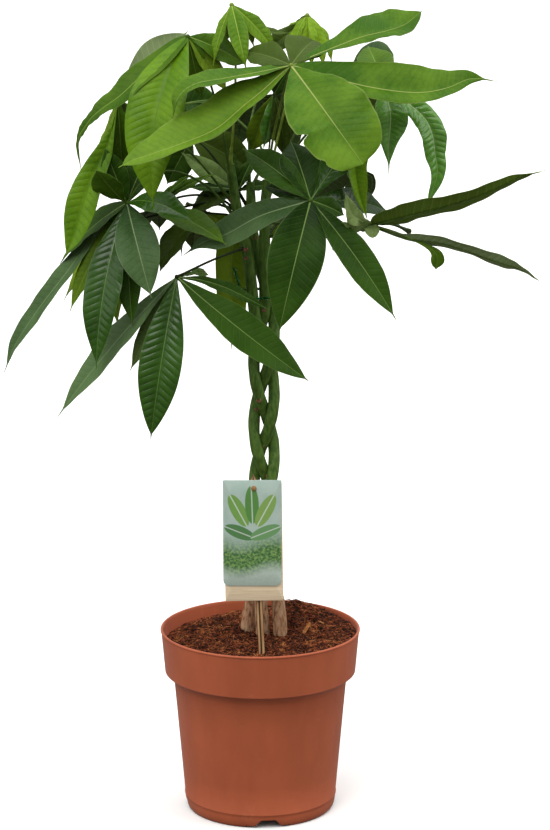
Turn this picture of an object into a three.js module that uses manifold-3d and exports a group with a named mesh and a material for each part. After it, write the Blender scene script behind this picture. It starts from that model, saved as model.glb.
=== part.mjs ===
// A braided money tree in a plastic nursery pot.
// Millimetres, +Z up. The origin is on the pot's axis, on the surface that the pot stands on.
// The picture side of the plant faces -Y, and +X is to its right.

import * as THREE from 'three';
import Module from 'manifold-3d';

const wasm = await Module();
wasm.setup();
const { Manifold, Mesh: SolidMesh } = wasm;

// Driving dimensions

const SEAT_GAP = 0.3; // between pieces that touch

const POT = {
  segments: 40,
  rimRadius: 87.2,
  rimHeight: 162,
  wall: 1.6,
  collarHeight: 40, // deep band below the rim
  collarFootRadius: 83.2,
  shoulderHeight: 7, // slope from the band in to the wall
  wallTopRadius: 75.3,
  wallFootRadius: 66.2,
  footRadius: 62.6,
  cornerHeight: 11,
  floorHeight: 8,
  skirtInnerRadius: 60,
  notchCount: 4,
  notchWidthLow: 21,
  notchWidthHigh: 12,
  notchHeight: 6,
  stepWidth: 36,
  stepHeight: 1.7,
  drainCount: 6,
  drainRadius: 4,
  drainCircle: 42,
};

// slope: how much the top rises towards +X, per millimetre
const SOIL = { edgeHeight: 153, crownHeight: 157, slope: 0.022, relief: 1.6, seed: 7 };

const BRAID = {
  centreX: 3.5,
  swing: 9.7, // half the width of the plait, stem centre to stem centre
  depth: 6.1, // how far a stem passes in front of and behind the plait's middle
  turn: 165, // height in which a stem comes back to its place
  stemRadius: 4.1,
  footRadius: 5.8,
  footHeight: 118, // the cut ends stand this high, deep in the soil
  splitHeight: 452, // here the tie ends the plait
};

const LEAF = {
  thickness: 0.8,
  fold: 0.2, // how far the edges stand above the middle line, as a share of the half width
  tipHalfWidth: 0.8,
  petioleRadius: 1.1,
  hubRadius: 3.2,
  stations: [0, 0.07, 0.24, 0.43, 0.62, 0.81, 1], // shares of a finger's length
  plainStations: [0, 0.08, 0.32, 0.56, 0.8, 1],
  narrowStations: [0, 0.1, 0.4, 0.7, 1],
  narrowWidth: 20,
  rearDepth: 28, // hubs behind this plane have plainer fingers
  longStations: [0, 0.07, 0.2, 0.34, 0.48, 0.62, 0.75, 0.88, 1],
};

const TAG = {
  stakeLean: 0.045, // radians, to the left
  plateLean: 0.01,
  place: [-5, -64.5, 304], // the pin
  cardWidth: 49.5,
  cardHeight: 92.5,
  cardThickness: 0.7,
  cardCorner: 5,
  cardShift: -1.3,
  cardBelowPin: 85.5,
  plateWidth: 51,
  plateHeight: 103,
  plateThickness: 1.6,
  stakeWidth: 5.4,
  stakeThickness: 1.8,
  stakeFoot: -159, // from the pin down into the soil
  stakeTop: 11,
  pinHeight: 99, // above the plate's lower edge
  pinRadius: 0.8,
  pinHeadRadius: 2.3,
};

// Small helpers

function vector([x, y, z]) {
  return new THREE.Vector3(x, y, z);
}

function seededRandom(seed) {
  let state = seed;
  return () => {
    state = (state * 16807) % 2147483647;
    return state / 2147483647;
  };
}

function geometryFrom(points, triangles) {
  const geometry = new THREE.BufferGeometry();
  const flat = points.flatMap((p) => [p.x, p.y, p.z]);
  geometry.setAttribute('position', new THREE.Float32BufferAttribute(flat, 3));
  geometry.setIndex(triangles);
  return geometry;
}

function solidFrom(geometry) {
  const position = geometry.getAttribute('position');
  const keys = new Map();
  const vertices = [];
  const renumber = [];
  for (let i = 0; i < position.count; i += 1) {
    const place = [position.getX(i), position.getY(i), position.getZ(i)];
    const key = place.map((v) => Math.round(v * 1e4)).join(',');
    if (!keys.has(key)) {
      keys.set(key, vertices.length / 3);
      vertices.push(...place);
    }
    renumber.push(keys.get(key));
  }
  const index = geometry.index ? [...geometry.index.array] : renumber.map((_, i) => i);
  const triangles = [];
  for (let i = 0; i < index.length; i += 3) {
    const [a, b, c] = [index[i], index[i + 1], index[i + 2]].map((k) => renumber[k]);
    if (a !== b && b !== c && c !== a) {
      triangles.push(a, b, c);
    }
  }
  return new Manifold(new SolidMesh({
    numProp: 3,
    vertProperties: new Float32Array(vertices),
    triVerts: new Uint32Array(triangles),
  }));
}

function geometryOf(solid) {
  const mesh = solid.getMesh();
  const geometry = new THREE.BufferGeometry();
  geometry.setAttribute('position', new THREE.BufferAttribute(new Float32Array(mesh.vertProperties), 3));
  geometry.setIndex([...mesh.triVerts]);
  geometry.computeVertexNormals();
  return geometry;
}

// Closed tube along a curve. radiusAt gets the share of the way along.
function tubeAlong(curve, radiusAt, sides, steps) {
  const points = [];
  const triangles = [];
  const frames = curve.computeFrenetFrames(steps, false);
  for (let i = 0; i <= steps; i += 1) {
    const share = i / steps;
    const centre = curve.getPointAt(share);
    const radius = radiusAt(share);
    for (let k = 0; k < sides; k += 1) {
      const angle = (2 * Math.PI * k) / sides;
      points.push(centre.clone()
        .addScaledVector(frames.normals[i], radius * Math.cos(angle))
        .addScaledVector(frames.binormals[i], radius * Math.sin(angle)));
    }
  }
  for (let i = 0; i < steps; i += 1) {
    for (let k = 0; k < sides; k += 1) {
      const next = (k + 1) % sides;
      const [a, b] = [i * sides + k, i * sides + next];
      const [c, d] = [a + sides, b + sides];
      triangles.push(a, b, d, a, d, c);
    }
  }
  const last = steps * sides;
  for (let k = 1; k < sides - 1; k += 1) {
    triangles.push(0, k + 1, k);
    triangles.push(last, last + k, last + k + 1);
  }
  return geometryFrom(points, triangles);
}

// Stems

function strandPoint(strand, height) {
  const angle = (2 * Math.PI * (height - 371)) / BRAID.turn + (strand * 2 * Math.PI) / 3;
  return new THREE.Vector3(
    BRAID.centreX + BRAID.swing * Math.cos(angle),
    BRAID.depth * Math.sin(2 * angle),
    height,
  );
}

// Where each stem stands in the soil, and how it goes on above the tie. They are named by their tops.
const STEMS = [
  {
    name: 'stem_left',
    strand: 0,
    foot: [[20, -13, 118], [18.5, -11, 155], [16.5, -5, 182]],
    above: [[-11, -2, 497], [-19, -1, 530], [-25, 0, 569]],
  },
  {
    name: 'stem_right',
    strand: 1,
    foot: [[5, -5, 118], [4.5, -5, 155], [2, -6, 182]],
    above: [[4, -1, 497], [4, -1, 525], [6, 0, 556]],
  },
  {
    name: 'stem_middle',
    strand: 2,
    foot: [[-14, 7, 118], [-13, 7, 155], [-8, 8.5, 182]],
    above: [[-4, 9.5, 497], [-7, 13, 524], [-8, 15, 552]],
  },
];

function stemCurve(stem) {
  const points = stem.foot.map(vector);
  for (let height = 205; height <= BRAID.splitHeight; height += BRAID.turn / 12) {
    points.push(strandPoint(stem.strand, height));
  }
  points.push(...stem.above.map(vector));
  return new THREE.CatmullRomCurve3(points, false, 'centripetal');
}

function stemGeometry(stem, extra = 0) {
  const radiusAt = (share) => {
    const swelling = Math.max(0, 1 - share / 0.22);
    const slimming = Math.max(0, (share - 0.85) / 0.15);
    const added = (BRAID.footRadius - BRAID.stemRadius) * swelling ** 0.7;
    return BRAID.stemRadius + added - 1.2 * slimming + extra;
  };
  return tubeAlong(stemCurve(stem), radiusAt, 8, 30);
}

// Leaves, in millimetres. A finger grows from the hub to its tip. width is its widest part, and widest is where
// along it that lies. rise is how far it arches towards the side that it faces, sway how far it bends sideways, and
// roll turns it about its own length, in degrees. via leads it through points instead. From tail on it is a ribbon.
const LEAVES = [
  {
    name: 'leaf_front_top',
    hub: [26, -75, 661],
    facing: [0, -0.75, 0.66],
    stalk: [[6, 0, 553], [11, -18, 592], [19, -52, 632]],
    fingers: [
      { tip: [136, -40, 702], width: 46, rise: 8, sway: 4, roll: 28, widest: 0.76 },
      { tip: [192, -75, 648], width: 39, rise: 0, sway: 9, roll: 4, widest: 0.58 },
      { tip: [91, -146, 586], width: 62, rise: 12, sway: 6, widest: 0.68 },
      { tip: [-113, -120, 584], width: 42, rise: 12, sway: -20, roll: -10 },
      { tip: [-72, -100, 620], width: 24, rise: 12, sway: 16, roll: -30 },
      { tip: [44, -34, 684], width: 34, rise: 4 },
      { tip: [-4, -46, 674], width: 24, rise: 2 },
    ],
  },
  {
    name: 'leaf_young_left',
    hub: [-23, -20, 705],
    facing: [0, 0, 1],
    stalk: [[-25, -2, 566], [-21, -9, 620], [-20, -14, 665]],
    fingers: [
      { tip: [-42, -45, 657], width: 13, rise: 5, facing: [-0.6, -0.7, 0.4] },
      { tip: [-10, -60, 653], width: 16, rise: 8, facing: [0, -1, 0.3] },
      { tip: [18, -13, 662], width: 20, rise: 5, facing: [0.5, -0.7, 0.5] },
      { tip: [-2, 22, 662], width: 16, rise: 8 },
      { tip: [-36, 16, 664], width: 12, rise: 6 },
    ],
  },
  {
    name: 'leaf_upper_left',
    hub: [-59, -40, 681],
    facing: [-0.1, -0.5, 0.85],
    stalk: [[-23, -4, 545], [-31, -14, 600], [-42, -28, 645], [-51, -36, 670]],
    fingers: [
      {
        tip: [-144, -60, 568],
        via: [[-90, -50, 658], [-117, -56, 631], [-137, -60, 612], [-149, -61, 590]],
        width: 32,
        widest: 0.34,
        tail: 0.56,
        facing: [-0.4, -0.6, 0.7],
      },
      { tip: [-86, -92, 544], width: 50, rise: 16, sway: 8 },
      { tip: [-20, 16, 655], width: 22, rise: 5 },
      { tip: [-43, -28, 646], width: 16, rise: 5 },
    ],
  },
  {
    name: 'leaf_far_left',
    hub: [-118, -20, 626],
    facing: [-0.45, -0.4, 0.8],
    stalk: [[-22, 2, 535], [-54, 4, 574], [-90, -6, 608]],
    fingers: [
      { tip: [-165, -50, 500], width: 31, rise: 4, widest: 0.68 },
      { tip: [-147, -26, 562], width: 14, rise: 3 },
      { tip: [-60, 16, 680], width: 36, rise: 1, facing: [0, 1, 0.1], widest: 0.6 },
      { tip: [-158, 26, 530], width: 22, rise: 4 },
      { tip: [-128, 60, 584], width: 26, rise: 10 },
      { tip: [-112, -6, 549], width: 15, rise: 3 },
    ],
  },
  {
    name: 'leaf_mid_left',
    hub: [-111, -30, 541],
    facing: [-0.2, -0.5, 0.84],
    stalk: [[-19, -2, 522], [-46, -8, 553], [-76, -17, 566], [-98, -25, 558]],
    fingers: [
      { tip: [-134, -60, 573], width: 26, rise: 2, facing: [-0.3, -0.9, -0.2], widest: 0.66 },
      { tip: [-54, -80, 533], width: 26, rise: 10 },
      { tip: [-220, 8, 391], width: 22, rise: 14, sway: 4, roll: 20 },
      { tip: [-135, -70, 414], width: 34, rise: 12 },
      { tip: [-89, -82, 470], width: 33, rise: 10 },
      { tip: [-107, -60, 438], width: 16, rise: 4 },
      { tip: [-166, -18, 468], width: 26, rise: 6 },
    ],
  },
  {
    name: 'leaf_low_left',
    hub: [-69, -50, 482],
    facing: [0, -0.7, 0.7],
    stalk: [[-12, -3, 499], [-40, -27, 492]],
    fingers: [
      { tip: [-171, -36, 361], width: 26, rise: 6, roll: -20 },
      { tip: [-90, -75, 350], width: 36, rise: 10 },
      { tip: [-108, -46, 402], width: 16, rise: 2 },
      { tip: [38, -68, 400], width: 37, rise: 8, sway: 4 },
      { tip: [10, -46, 453], width: 13, rise: 4, sway: -3 },
      { tip: [-46, -22, 486], width: 10, rise: 1 },
    ],
  },
  {
    name: 'leaf_front_centre',
    hub: [42, -80, 551],
    facing: [0.05, -0.8, 0.6],
    stalk: [[5, -2, 520], [18, -30, 524], [32, -60, 536]],
    fingers: [
      { tip: [-12, -40, 587], width: 26, rise: 6 },
      { tip: [32, -38, 588], width: 28, rise: 4 },
      { tip: [86, -36, 588], width: 30, rise: 4 },
      { tip: [108, -24, 532], width: 24, rise: 8 },
      { tip: [109, -110, 460], width: 29, rise: 10, sway: -1 },
      { tip: [16, -105, 445], width: 43, rise: 10, sway: 2 },
      { tip: [-39, -44, 509], width: 28, rise: 8 },
    ],
  },
  {
    name: 'leaf_low_right',
    hub: [92, -80, 531],
    facing: [0.2, -0.2, 0.95],
    stalk: [[7, 1, 508], [38, -22, 512], [70, -58, 518]],
    fingers: [
      { tip: [228, -150, 584], width: 29, rise: -1, facing: [0, 0.6, 0.8], widest: 0.4 },
      { tip: [226, -112, 491], width: 17, rise: 4, facing: [0, 0.65, 0.76] },
      { tip: [145, -86, 498], width: 13, rise: 8, sway: -3, facing: [-0.3, -0.9, 0.4], widest: 0.7 },
      { tip: [67, -100, 558], width: 19, rise: 3, facing: [0.3, -0.9, 0.3], widest: 0.62 },
      { tip: [126, -34, 514], width: 24, rise: 5 },
    ],
  },
  {
    name: 'leaf_upper_right',
    hub: [104, -30, 636],
    facing: [0.4, -0.3, 0.85],
    stalk: [[8, 3, 548], [40, -4, 596], [76, -18, 628]],
    fingers: [
      {
        tip: [131, -46, 544],
        via: [[134, -36, 619], [147, -46, 592], [142, -48, 564]],
        width: 24,
        facing: [0.4, -0.8, 0.4],
      },
      { tip: [106, -52, 570], width: 25, rise: 6, facing: [0.4, -0.9, 0.3] },
      { tip: [92, 46, 664], width: 42, rise: 4 },
      { tip: [88, -66, 534], width: 19, rise: 4, facing: [0.3, -0.9, 0.2] },
      { tip: [140, 44, 628], width: 30, rise: 6 },
    ],
  },
  {
    name: 'leaf_young_right',
    hub: [40, 15, 693],
    facing: [0, -0.5, 0.85],
    stalk: [[6, 3, 552], [20, 10, 610], [33, 14, 660]],
    fingers: [
      { tip: [45, 0, 650], width: 15, rise: 8, facing: [0, -0.9, 0.3] },
      { tip: [57, 0, 650], width: 15, rise: 8, facing: [0.4, -0.9, 0.3] },
      { tip: [67, 18, 650], width: 14, rise: 8, facing: [0.8, -0.5, 0.4] },
      { tip: [24, 4, 656], width: 16, rise: 8, facing: [-0.7, -0.6, 0.4] },
      { tip: [9, 32, 674], width: 12, rise: 2 },
      { tip: [36, 56, 656], width: 16, rise: 8, facing: [0, 0.4, 0.9] },
    ],
  },
  {
    name: 'leaf_inner_top',
    hub: [-58, 36, 588],
    facing: [0, -0.5, 0.85],
    stalk: [[-10, 17, 530], [-26, 27, 552], [-44, 33, 576]],
    fingers: [
      { tip: [-8, 42, 560], width: 26, rise: 5 },
      { tip: [-28, 54, 555], width: 20, rise: 3 },
      { tip: [-66, 84, 592], width: 26, rise: 6 },
      { tip: [-100, 50, 588], width: 26, rise: 6 },
    ],
  },
  {
    name: 'leaf_inner_left',
    hub: [-91, 5, 530],
    facing: [0, -0.5, 0.86],
    stalk: [[-10, 12, 520], [-36, 18, 538], [-66, 12, 540]],
    fingers: [
      { tip: [-56, -4, 562], width: 10, rise: 2 },
      { tip: [-38, 0, 560], width: 12, rise: 4 },
      { tip: [-27, -72, 513], width: 27, rise: 6 },
      { tip: [-106, 66, 486], width: 26, rise: 8 },
      { tip: [-88, 76, 500], width: 28, rise: 10 },
    ],
  },
  {
    name: 'leaf_inner_low',
    hub: [-47, 32, 523],
    facing: [0, -0.2, 1],
    stalk: [[-8, 14, 505], [-20, 22, 520]],
    fingers: [
      { tip: [-86, 20, 473], width: 28, rise: 6 },
      { tip: [-68, 42, 483], width: 14, rise: 6 },
      { tip: [-28, 46, 420], width: 30, rise: 8, facing: [0.1, -0.8, 0.6] },
      { tip: [-64, 12, 533], width: 12, rise: 2 },
      { tip: [-60, 84, 480], width: 28, rise: 10 },
    ],
  },
  {
    name: 'leaf_left_behind',
    hub: [-119, 26, 514],
    facing: [-0.3, -0.2, 0.93],
    stalk: [[-9, 8, 486], [-50, 7, 498], [-92, 16, 508]],
    fingers: [
      { tip: [-168, 12, 450], width: 20, rise: 3 },
      { tip: [-122, 6, 430], width: 24, rise: 4 },
      { tip: [-152, 78, 456], width: 30, rise: 8 },
      { tip: [-122, 112, 456], width: 32, rise: 12 },
    ],
  },
  {
    name: 'leaf_inner_right',
    hub: [24, 36, 520],
    facing: [0, -0.2, 1],
    stalk: [[4, 1, 500], [12, 20, 512]],
    fingers: [
      { tip: [18, 26, 492], width: 22, rise: 4 },
      { tip: [58, 30, 500], width: 22, rise: 6 },
      { tip: [64, 84, 480], width: 32, rise: 12 },
      { tip: [16, 112, 480], width: 32, rise: 12 },
    ],
  },
  {
    name: 'leaf_back_left',
    hub: [-72, 110, 606],
    facing: [-0.2, 0.4, 0.9],
    stalk: [[-7, 16, 545], [2, 48, 574], [-40, 92, 608]],
    fingers: [
      { tip: [-140, 100, 568], width: 36, rise: 10 },
      { tip: [-116, 150, 552], width: 34, rise: 14 },
      { tip: [-66, 156, 548], width: 34, rise: 14 },
      { tip: [-36, 138, 572], width: 26, rise: 8 },
    ],
  },
  {
    name: 'leaf_back_centre',
    hub: [-2, 110, 612],
    facing: [0, 0.4, 0.9],
    stalk: [[-9, 16, 549], [-9, 46, 590], [-4, 90, 610]],
    fingers: [
      { tip: [-40, 134, 588], width: 28, rise: 10 },
      { tip: [-24, 154, 556], width: 34, rise: 12 },
      { tip: [32, 150, 556], width: 34, rise: 12 },
      { tip: [46, 122, 588], width: 28, rise: 8 },
      { tip: [2, 72, 626], width: 20, rise: 4 },
    ],
  },
  {
    name: 'leaf_back_top',
    hub: [62, 62, 628],
    facing: [0.2, 0.2, 0.95],
    stalk: [[6, 2, 536], [24, 26, 580], [48, 50, 618]],
    fingers: [
      { tip: [108, 72, 604], width: 30, rise: 10 },
      { tip: [96, 112, 590], width: 34, rise: 12 },
      { tip: [58, 122, 600], width: 28, rise: 8 },
      { tip: [34, 44, 600], width: 20, rise: 5 },
    ],
  },
  {
    name: 'leaf_back_right',
    hub: [80, 96, 552],
    facing: [0.3, 0.4, 0.86],
    stalk: [[5, 1, 512], [36, 40, 532], [62, 80, 550]],
    fingers: [
      { tip: [112, 120, 520], width: 28, rise: 10 },
      { tip: [96, 152, 500], width: 36, rise: 14 },
      { tip: [44, 152, 504], width: 34, rise: 14 },
      { tip: [34, 112, 520], width: 26, rise: 8 },
      { tip: [86, 54, 540], width: 22, rise: 4 },
    ],
  },
];

// Middle line of a finger, as a curve with getPoint and getTangent.
function fingerPath(hub, finger, up, side) {
  const tip = vector(finger.tip);
  if (finger.via) {
    return new THREE.CatmullRomCurve3([hub, ...finger.via.map(vector), tip], false, 'catmullrom', 0.5);
  }
  const bend = up.clone().multiplyScalar(2 * (finger.rise ?? 0)).addScaledVector(side, 2 * (finger.sway ?? 0));
  return new THREE.QuadraticBezierCurve3(hub, hub.clone().lerp(tip, 0.5).add(bend), tip);
}

// Share of the full width at t: narrow at the hub, widest at its place, drawn out at the tip.
function bladeShape(t, widest = 0.55, tail = 2) {
  const skew = Math.log(0.5) / Math.log(widest);
  const body = Math.sin(Math.PI * t ** skew) ** 0.85;
  return t > tail ? Math.min(body, 0.2) : body;
}

function stationsFor(leaf, finger) {
  if (finger.via) {
    return LEAF.longStations;
  }
  if (finger.width <= LEAF.narrowWidth) {
    return LEAF.narrowStations;
  }
  return leaf.hub[1] > LEAF.rearDepth ? LEAF.plainStations : LEAF.stations;
}

// One finger: a thin blade, folded a little along its middle line.
function fingerGeometry(leaf, finger) {
  const hub = vector(leaf.hub);
  const along = vector(finger.tip).sub(hub).normalize();
  const up = vector(finger.facing ?? leaf.facing);
  up.addScaledVector(along, -up.dot(along)).normalize();
  const side = along.clone().cross(up);
  const path = fingerPath(hub, finger, up, side);
  const stations = stationsFor(leaf, finger);
  const points = [];
  const triangles = [];
  for (const t of stations) {
    const centre = path.getPoint(t);
    const tangent = path.getTangent(t);
    const level = side.clone().addScaledVector(tangent, -side.dot(tangent)).normalize();
    const lift = level.clone().cross(tangent);
    const turn = THREE.MathUtils.degToRad(finger.roll ?? 0);
    const across = level.clone().multiplyScalar(Math.cos(turn)).addScaledVector(lift, Math.sin(turn));
    const normal = across.clone().cross(tangent);
    const half = Math.max(LEAF.tipHalfWidth, 0.5 * finger.width * bladeShape(t, finger.widest, finger.tail));
    const fold = LEAF.fold * half;
    for (const [place, face] of [[-1, 1], [0, 1], [1, 1], [1, -1], [0, -1], [-1, -1]]) {
      points.push(centre.clone()
        .addScaledVector(across, place * half)
        .addScaledVector(normal, Math.abs(place) * fold + 0.5 * face * LEAF.thickness));
    }
  }
  const gaps = stations.length - 1;
  for (let i = 0; i < gaps; i += 1) {
    for (let k = 0; k < 6; k += 1) {
      const [a, b] = [6 * i + k, 6 * i + ((k + 1) % 6)];
      const [c, d] = [a + 6, b + 6];
      if (k < 3) {
        triangles.push(a, b, c, b, d, c);
      } else {
        triangles.push(a, b, d, a, d, c);
      }
    }
  }
  const end = 6 * gaps;
  for (const [a, b, c] of [[0, 5, 4], [0, 4, 1], [1, 4, 3], [1, 3, 2]]) {
    triangles.push(a, b, c);
    triangles.push(end + a, end + c, end + b);
  }
  return geometryFrom(points, triangles);
}

function leafSolid(leaf, stemKeepOut) {
  const hub = vector(leaf.hub);
  const path = new THREE.CatmullRomCurve3([...leaf.stalk.map(vector), hub]);
  let solid = solidFrom(tubeAlong(path, (t) => LEAF.petioleRadius * (1.35 - 0.35 * t), 5, 6));
  const ball = new THREE.SphereGeometry(LEAF.hubRadius, 6, 4);
  ball.translate(hub.x, hub.y, hub.z);
  solid = solid.add(solidFrom(ball));
  for (const finger of leaf.fingers) {
    solid = solid.add(solidFrom(fingerGeometry(leaf, finger)));
  }
  return solid.subtract(stemKeepOut);
}

// Pot

function potProfile() {
  const bandTop = POT.rimHeight;
  const bandFoot = bandTop - POT.collarHeight;
  const wallTop = bandFoot - POT.shoulderHeight;
  const inner = (radius) => radius - POT.wall;
  return [
    [0, POT.floorHeight],
    [POT.skirtInnerRadius + 0.8, POT.floorHeight],
    [POT.skirtInnerRadius, 0],
    [POT.footRadius, 0],
    [POT.footRadius + 1.8, 2],
    [POT.wallFootRadius - 0.6, 5.5],
    [POT.wallFootRadius, POT.cornerHeight],
    [POT.wallTopRadius, wallTop],
    [POT.collarFootRadius, bandFoot],
    [POT.rimRadius - 0.8, bandTop - 3],
    [POT.rimRadius, bandTop - 1.2],
    [POT.rimRadius - 0.6, bandTop],
    [inner(POT.rimRadius) + 0.2, bandTop],
    [inner(POT.rimRadius) - 0.8, bandTop - 2.4],
    [inner(POT.collarFootRadius), bandFoot + 0.6],
    [inner(POT.wallTopRadius), wallTop + 0.4],
    [inner(POT.wallFootRadius), POT.cornerHeight + 1.5],
    [inner(POT.wallFootRadius) - 2.5, POT.floorHeight + POT.wall],
    [0, POT.floorHeight + POT.wall],
  ];
}

function latheUpright(profile, segments) {
  const outline = profile.map(([r, z]) => new THREE.Vector2(r, z));
  return new THREE.LatheGeometry(outline, segments).rotateX(Math.PI / 2);
}

function potSolid() {
  let solid = solidFrom(latheUpright(potProfile(), POT.segments));
  for (let i = 0; i < POT.notchCount; i += 1) {
    const turn = (2 * Math.PI * i) / POT.notchCount;
    const cut = new THREE.Shape();
    const [low, high] = [POT.notchWidthLow / 2, POT.notchWidthHigh / 2];
    cut.moveTo(-POT.stepWidth / 2, -1);
    cut.lineTo(POT.stepWidth / 2, -1);
    cut.lineTo(POT.stepWidth / 2, POT.stepHeight);
    cut.lineTo(low, POT.stepHeight);
    cut.lineTo(high, POT.notchHeight);
    cut.lineTo(-high, POT.notchHeight);
    cut.lineTo(-low, POT.stepHeight);
    cut.lineTo(-POT.stepWidth / 2, POT.stepHeight);
    const tool = new THREE.ExtrudeGeometry(cut, { depth: 24, bevelEnabled: false });
    tool.rotateX(Math.PI / 2);
    tool.translate(0, -46, 0);
    tool.rotateZ(turn);
    solid = solid.subtract(solidFrom(tool));
  }
  for (let i = 0; i < POT.drainCount; i += 1) {
    const angle = (2 * Math.PI * (i + 0.5)) / POT.drainCount;
    const drill = new THREE.CylinderGeometry(POT.drainRadius, POT.drainRadius, 12, 6);
    drill.rotateX(Math.PI / 2);
    drill.translate(POT.drainCircle * Math.cos(angle), POT.drainCircle * Math.sin(angle), POT.floorHeight);
    solid = solid.subtract(solidFrom(drill));
  }
  return solid;
}

// Soil: fills the pot, with a low crown and a rough top

function soilSolid() {
  const bandFoot = POT.rimHeight - POT.collarHeight;
  const wallTop = bandFoot - POT.shoulderHeight;
  const offset = POT.wall + SEAT_GAP;
  const slope = (POT.rimRadius - 0.8 - POT.collarFootRadius) / (POT.collarHeight - 3);
  const edgeRadius = POT.collarFootRadius - offset + slope * (SOIL.edgeHeight - bandFoot);
  const profile = [
    [0, POT.floorHeight + offset],
    [POT.wallFootRadius - offset - 2.8, POT.floorHeight + offset],
    [POT.wallFootRadius - offset, POT.cornerHeight + 2],
    [POT.wallTopRadius - offset, wallTop + 0.4],
    [POT.collarFootRadius - offset, bandFoot + 0.8],
    [edgeRadius - 0.2, SOIL.edgeHeight],
    [0.72 * edgeRadius, SOIL.edgeHeight + 0.5 * (SOIL.crownHeight - SOIL.edgeHeight)],
    [0.42 * edgeRadius, SOIL.crownHeight],
    [0, SOIL.crownHeight],
  ];
  const geometry = latheUpright(profile, POT.segments / 2);
  geometry.deleteAttribute('normal');
  geometry.deleteAttribute('uv');
  const random = seededRandom(SOIL.seed);
  const position = geometry.getAttribute('position');
  const lifts = new Map();
  for (let i = 0; i < position.count; i += 1) {
    const [x, y, z] = [position.getX(i), position.getY(i), position.getZ(i)];
    if (z < SOIL.edgeHeight - 1) {
      continue;
    }
    const key = `${Math.round(x * 10)},${Math.round(y * 10)}`;
    if (!lifts.has(key)) {
      const inside = z > SOIL.edgeHeight + 1 && Math.hypot(x, y) > 1;
      lifts.set(key, inside ? SOIL.relief * (2 * random() - 1) : 0);
    }
    position.setZ(i, z + SOIL.slope * x + lifts.get(key));
  }
  return solidFrom(geometry);
}

// Tie: one turn of wire round the three stems, with a loose end

function tieSolid(stemKeepOut) {
  const [rx, ry] = [BRAID.swing + BRAID.stemRadius + 2.4, BRAID.depth + BRAID.stemRadius + 3.2];
  const points = [];
  for (let i = 0; i <= 15; i += 1) {
    const angle = -Math.PI * 0.9 + (2 * Math.PI * i) / 14;
    points.push(new THREE.Vector3(
      BRAID.centreX - 3 + (rx + 0.1 * i) * Math.cos(angle),
      (ry + 0.1 * i) * Math.sin(angle),
      456 + 0.35 * i,
    ));
  }
  points.unshift(new THREE.Vector3(-22, -6, 482), new THREE.Vector3(-17, -8, 464));
  const path = new THREE.CatmullRomCurve3(points, false, 'centripetal');
  return solidFrom(tubeAlong(path, () => 0.9, 4, 32)).subtract(stemKeepOut);
}

// Tag: stake, plate, card and pin, built upright round their own foot, then leaned

function roundedRectangle(width, height, corner, sharpTop) {
  const shape = new THREE.Shape();
  const [x, top] = [width / 2, sharpTop ? 1 : corner];
  shape.moveTo(-x + corner, 0);
  shape.lineTo(x - corner, 0);
  shape.quadraticCurveTo(x, 0, x, corner);
  shape.lineTo(x, height - top);
  shape.quadraticCurveTo(x, height, x - top, height);
  shape.lineTo(-x + top, height);
  shape.quadraticCurveTo(-x, height, -x, height - top);
  shape.lineTo(-x, corner);
  shape.quadraticCurveTo(-x, 0, -x + corner, 0);
  return shape;
}

function slab(shape, thickness, front) {
  const geometry = new THREE.ExtrudeGeometry(shape, { depth: thickness, bevelEnabled: false, curveSegments: 3 });
  geometry.rotateX(Math.PI / 2);
  geometry.translate(0, front + thickness, 0);
  return geometry;
}

function pinRod(radius, from, to) {
  return solidFrom(new THREE.CylinderGeometry(radius, radius, to - from, 8).translate(0, 0.5 * (from + to), 0));
}

// Every piece of the tag is drawn round the pin, on which it hangs. The plate's front is the plane y = 0.
function tagPieces() {
  const cardFront = -SEAT_GAP - TAG.cardThickness;
  const stakeFront = TAG.plateThickness + SEAT_GAP;
  const headBack = cardFront - SEAT_GAP;
  const drill = pinRod(TAG.pinRadius + SEAT_GAP, cardFront - 2, stakeFront - 0.1);

  const cardOutline = roundedRectangle(TAG.cardWidth, TAG.cardHeight, TAG.cardCorner, true);
  const card = slab(cardOutline, TAG.cardThickness, cardFront);
  card.translate(TAG.cardShift, 0, -TAG.cardBelowPin);

  const board = new THREE.Shape();
  board.moveTo(-TAG.plateWidth / 2, -TAG.pinHeight);
  board.lineTo(TAG.plateWidth / 2, -TAG.pinHeight);
  board.lineTo(TAG.plateWidth / 2, TAG.plateHeight - TAG.pinHeight);
  board.lineTo(-TAG.plateWidth / 2, TAG.plateHeight - TAG.pinHeight);
  const plate = slab(board, TAG.plateThickness, 0);

  const stick = new THREE.Shape();
  const half = TAG.stakeWidth / 2;
  stick.moveTo(-half, TAG.stakeFoot);
  stick.lineTo(half, TAG.stakeFoot);
  stick.lineTo(half, TAG.stakeTop - 5);
  stick.lineTo(0, TAG.stakeTop);
  stick.lineTo(-half, TAG.stakeTop - 5);

  const shank = pinRod(TAG.pinRadius, headBack - 1, stakeFront - SEAT_GAP);
  return {
    card: geometryOf(solidFrom(card).subtract(drill)),
    plate: geometryOf(solidFrom(plate).subtract(drill)),
    stake: slab(stick, TAG.stakeThickness, stakeFront),
    pin: geometryOf(shank.add(pinRod(TAG.pinHeadRadius, headBack - 1.4, headBack))),
  };
}

// Put together

const COLOURS = {
  pot: '#a8563f',
  soil: '#54301f',
  stem: '#44602f',
  leaf: '#4c8a2c',
  tie: '#0f5a33',
  wood: '#d8c39c',
  card: '#e6eee0',
  pin: '#8a6a48',
};

const plant = new THREE.Group();

function material(colour, roughness) {
  return new THREE.MeshStandardMaterial({ color: colour, roughness, metalness: 0 });
}

function addPiece(parent, name, geometry, colour, roughness) {
  const mesh = new THREE.Mesh(geometry, material(colour, roughness));
  mesh.name = name;
  parent.add(mesh);
  return mesh;
}

const stemsWithRoom = STEMS.map((stem) => solidFrom(stemGeometry(stem, SEAT_GAP)));
const stemRoom = stemsWithRoom.reduce((all, solid) => all.add(solid));

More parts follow.
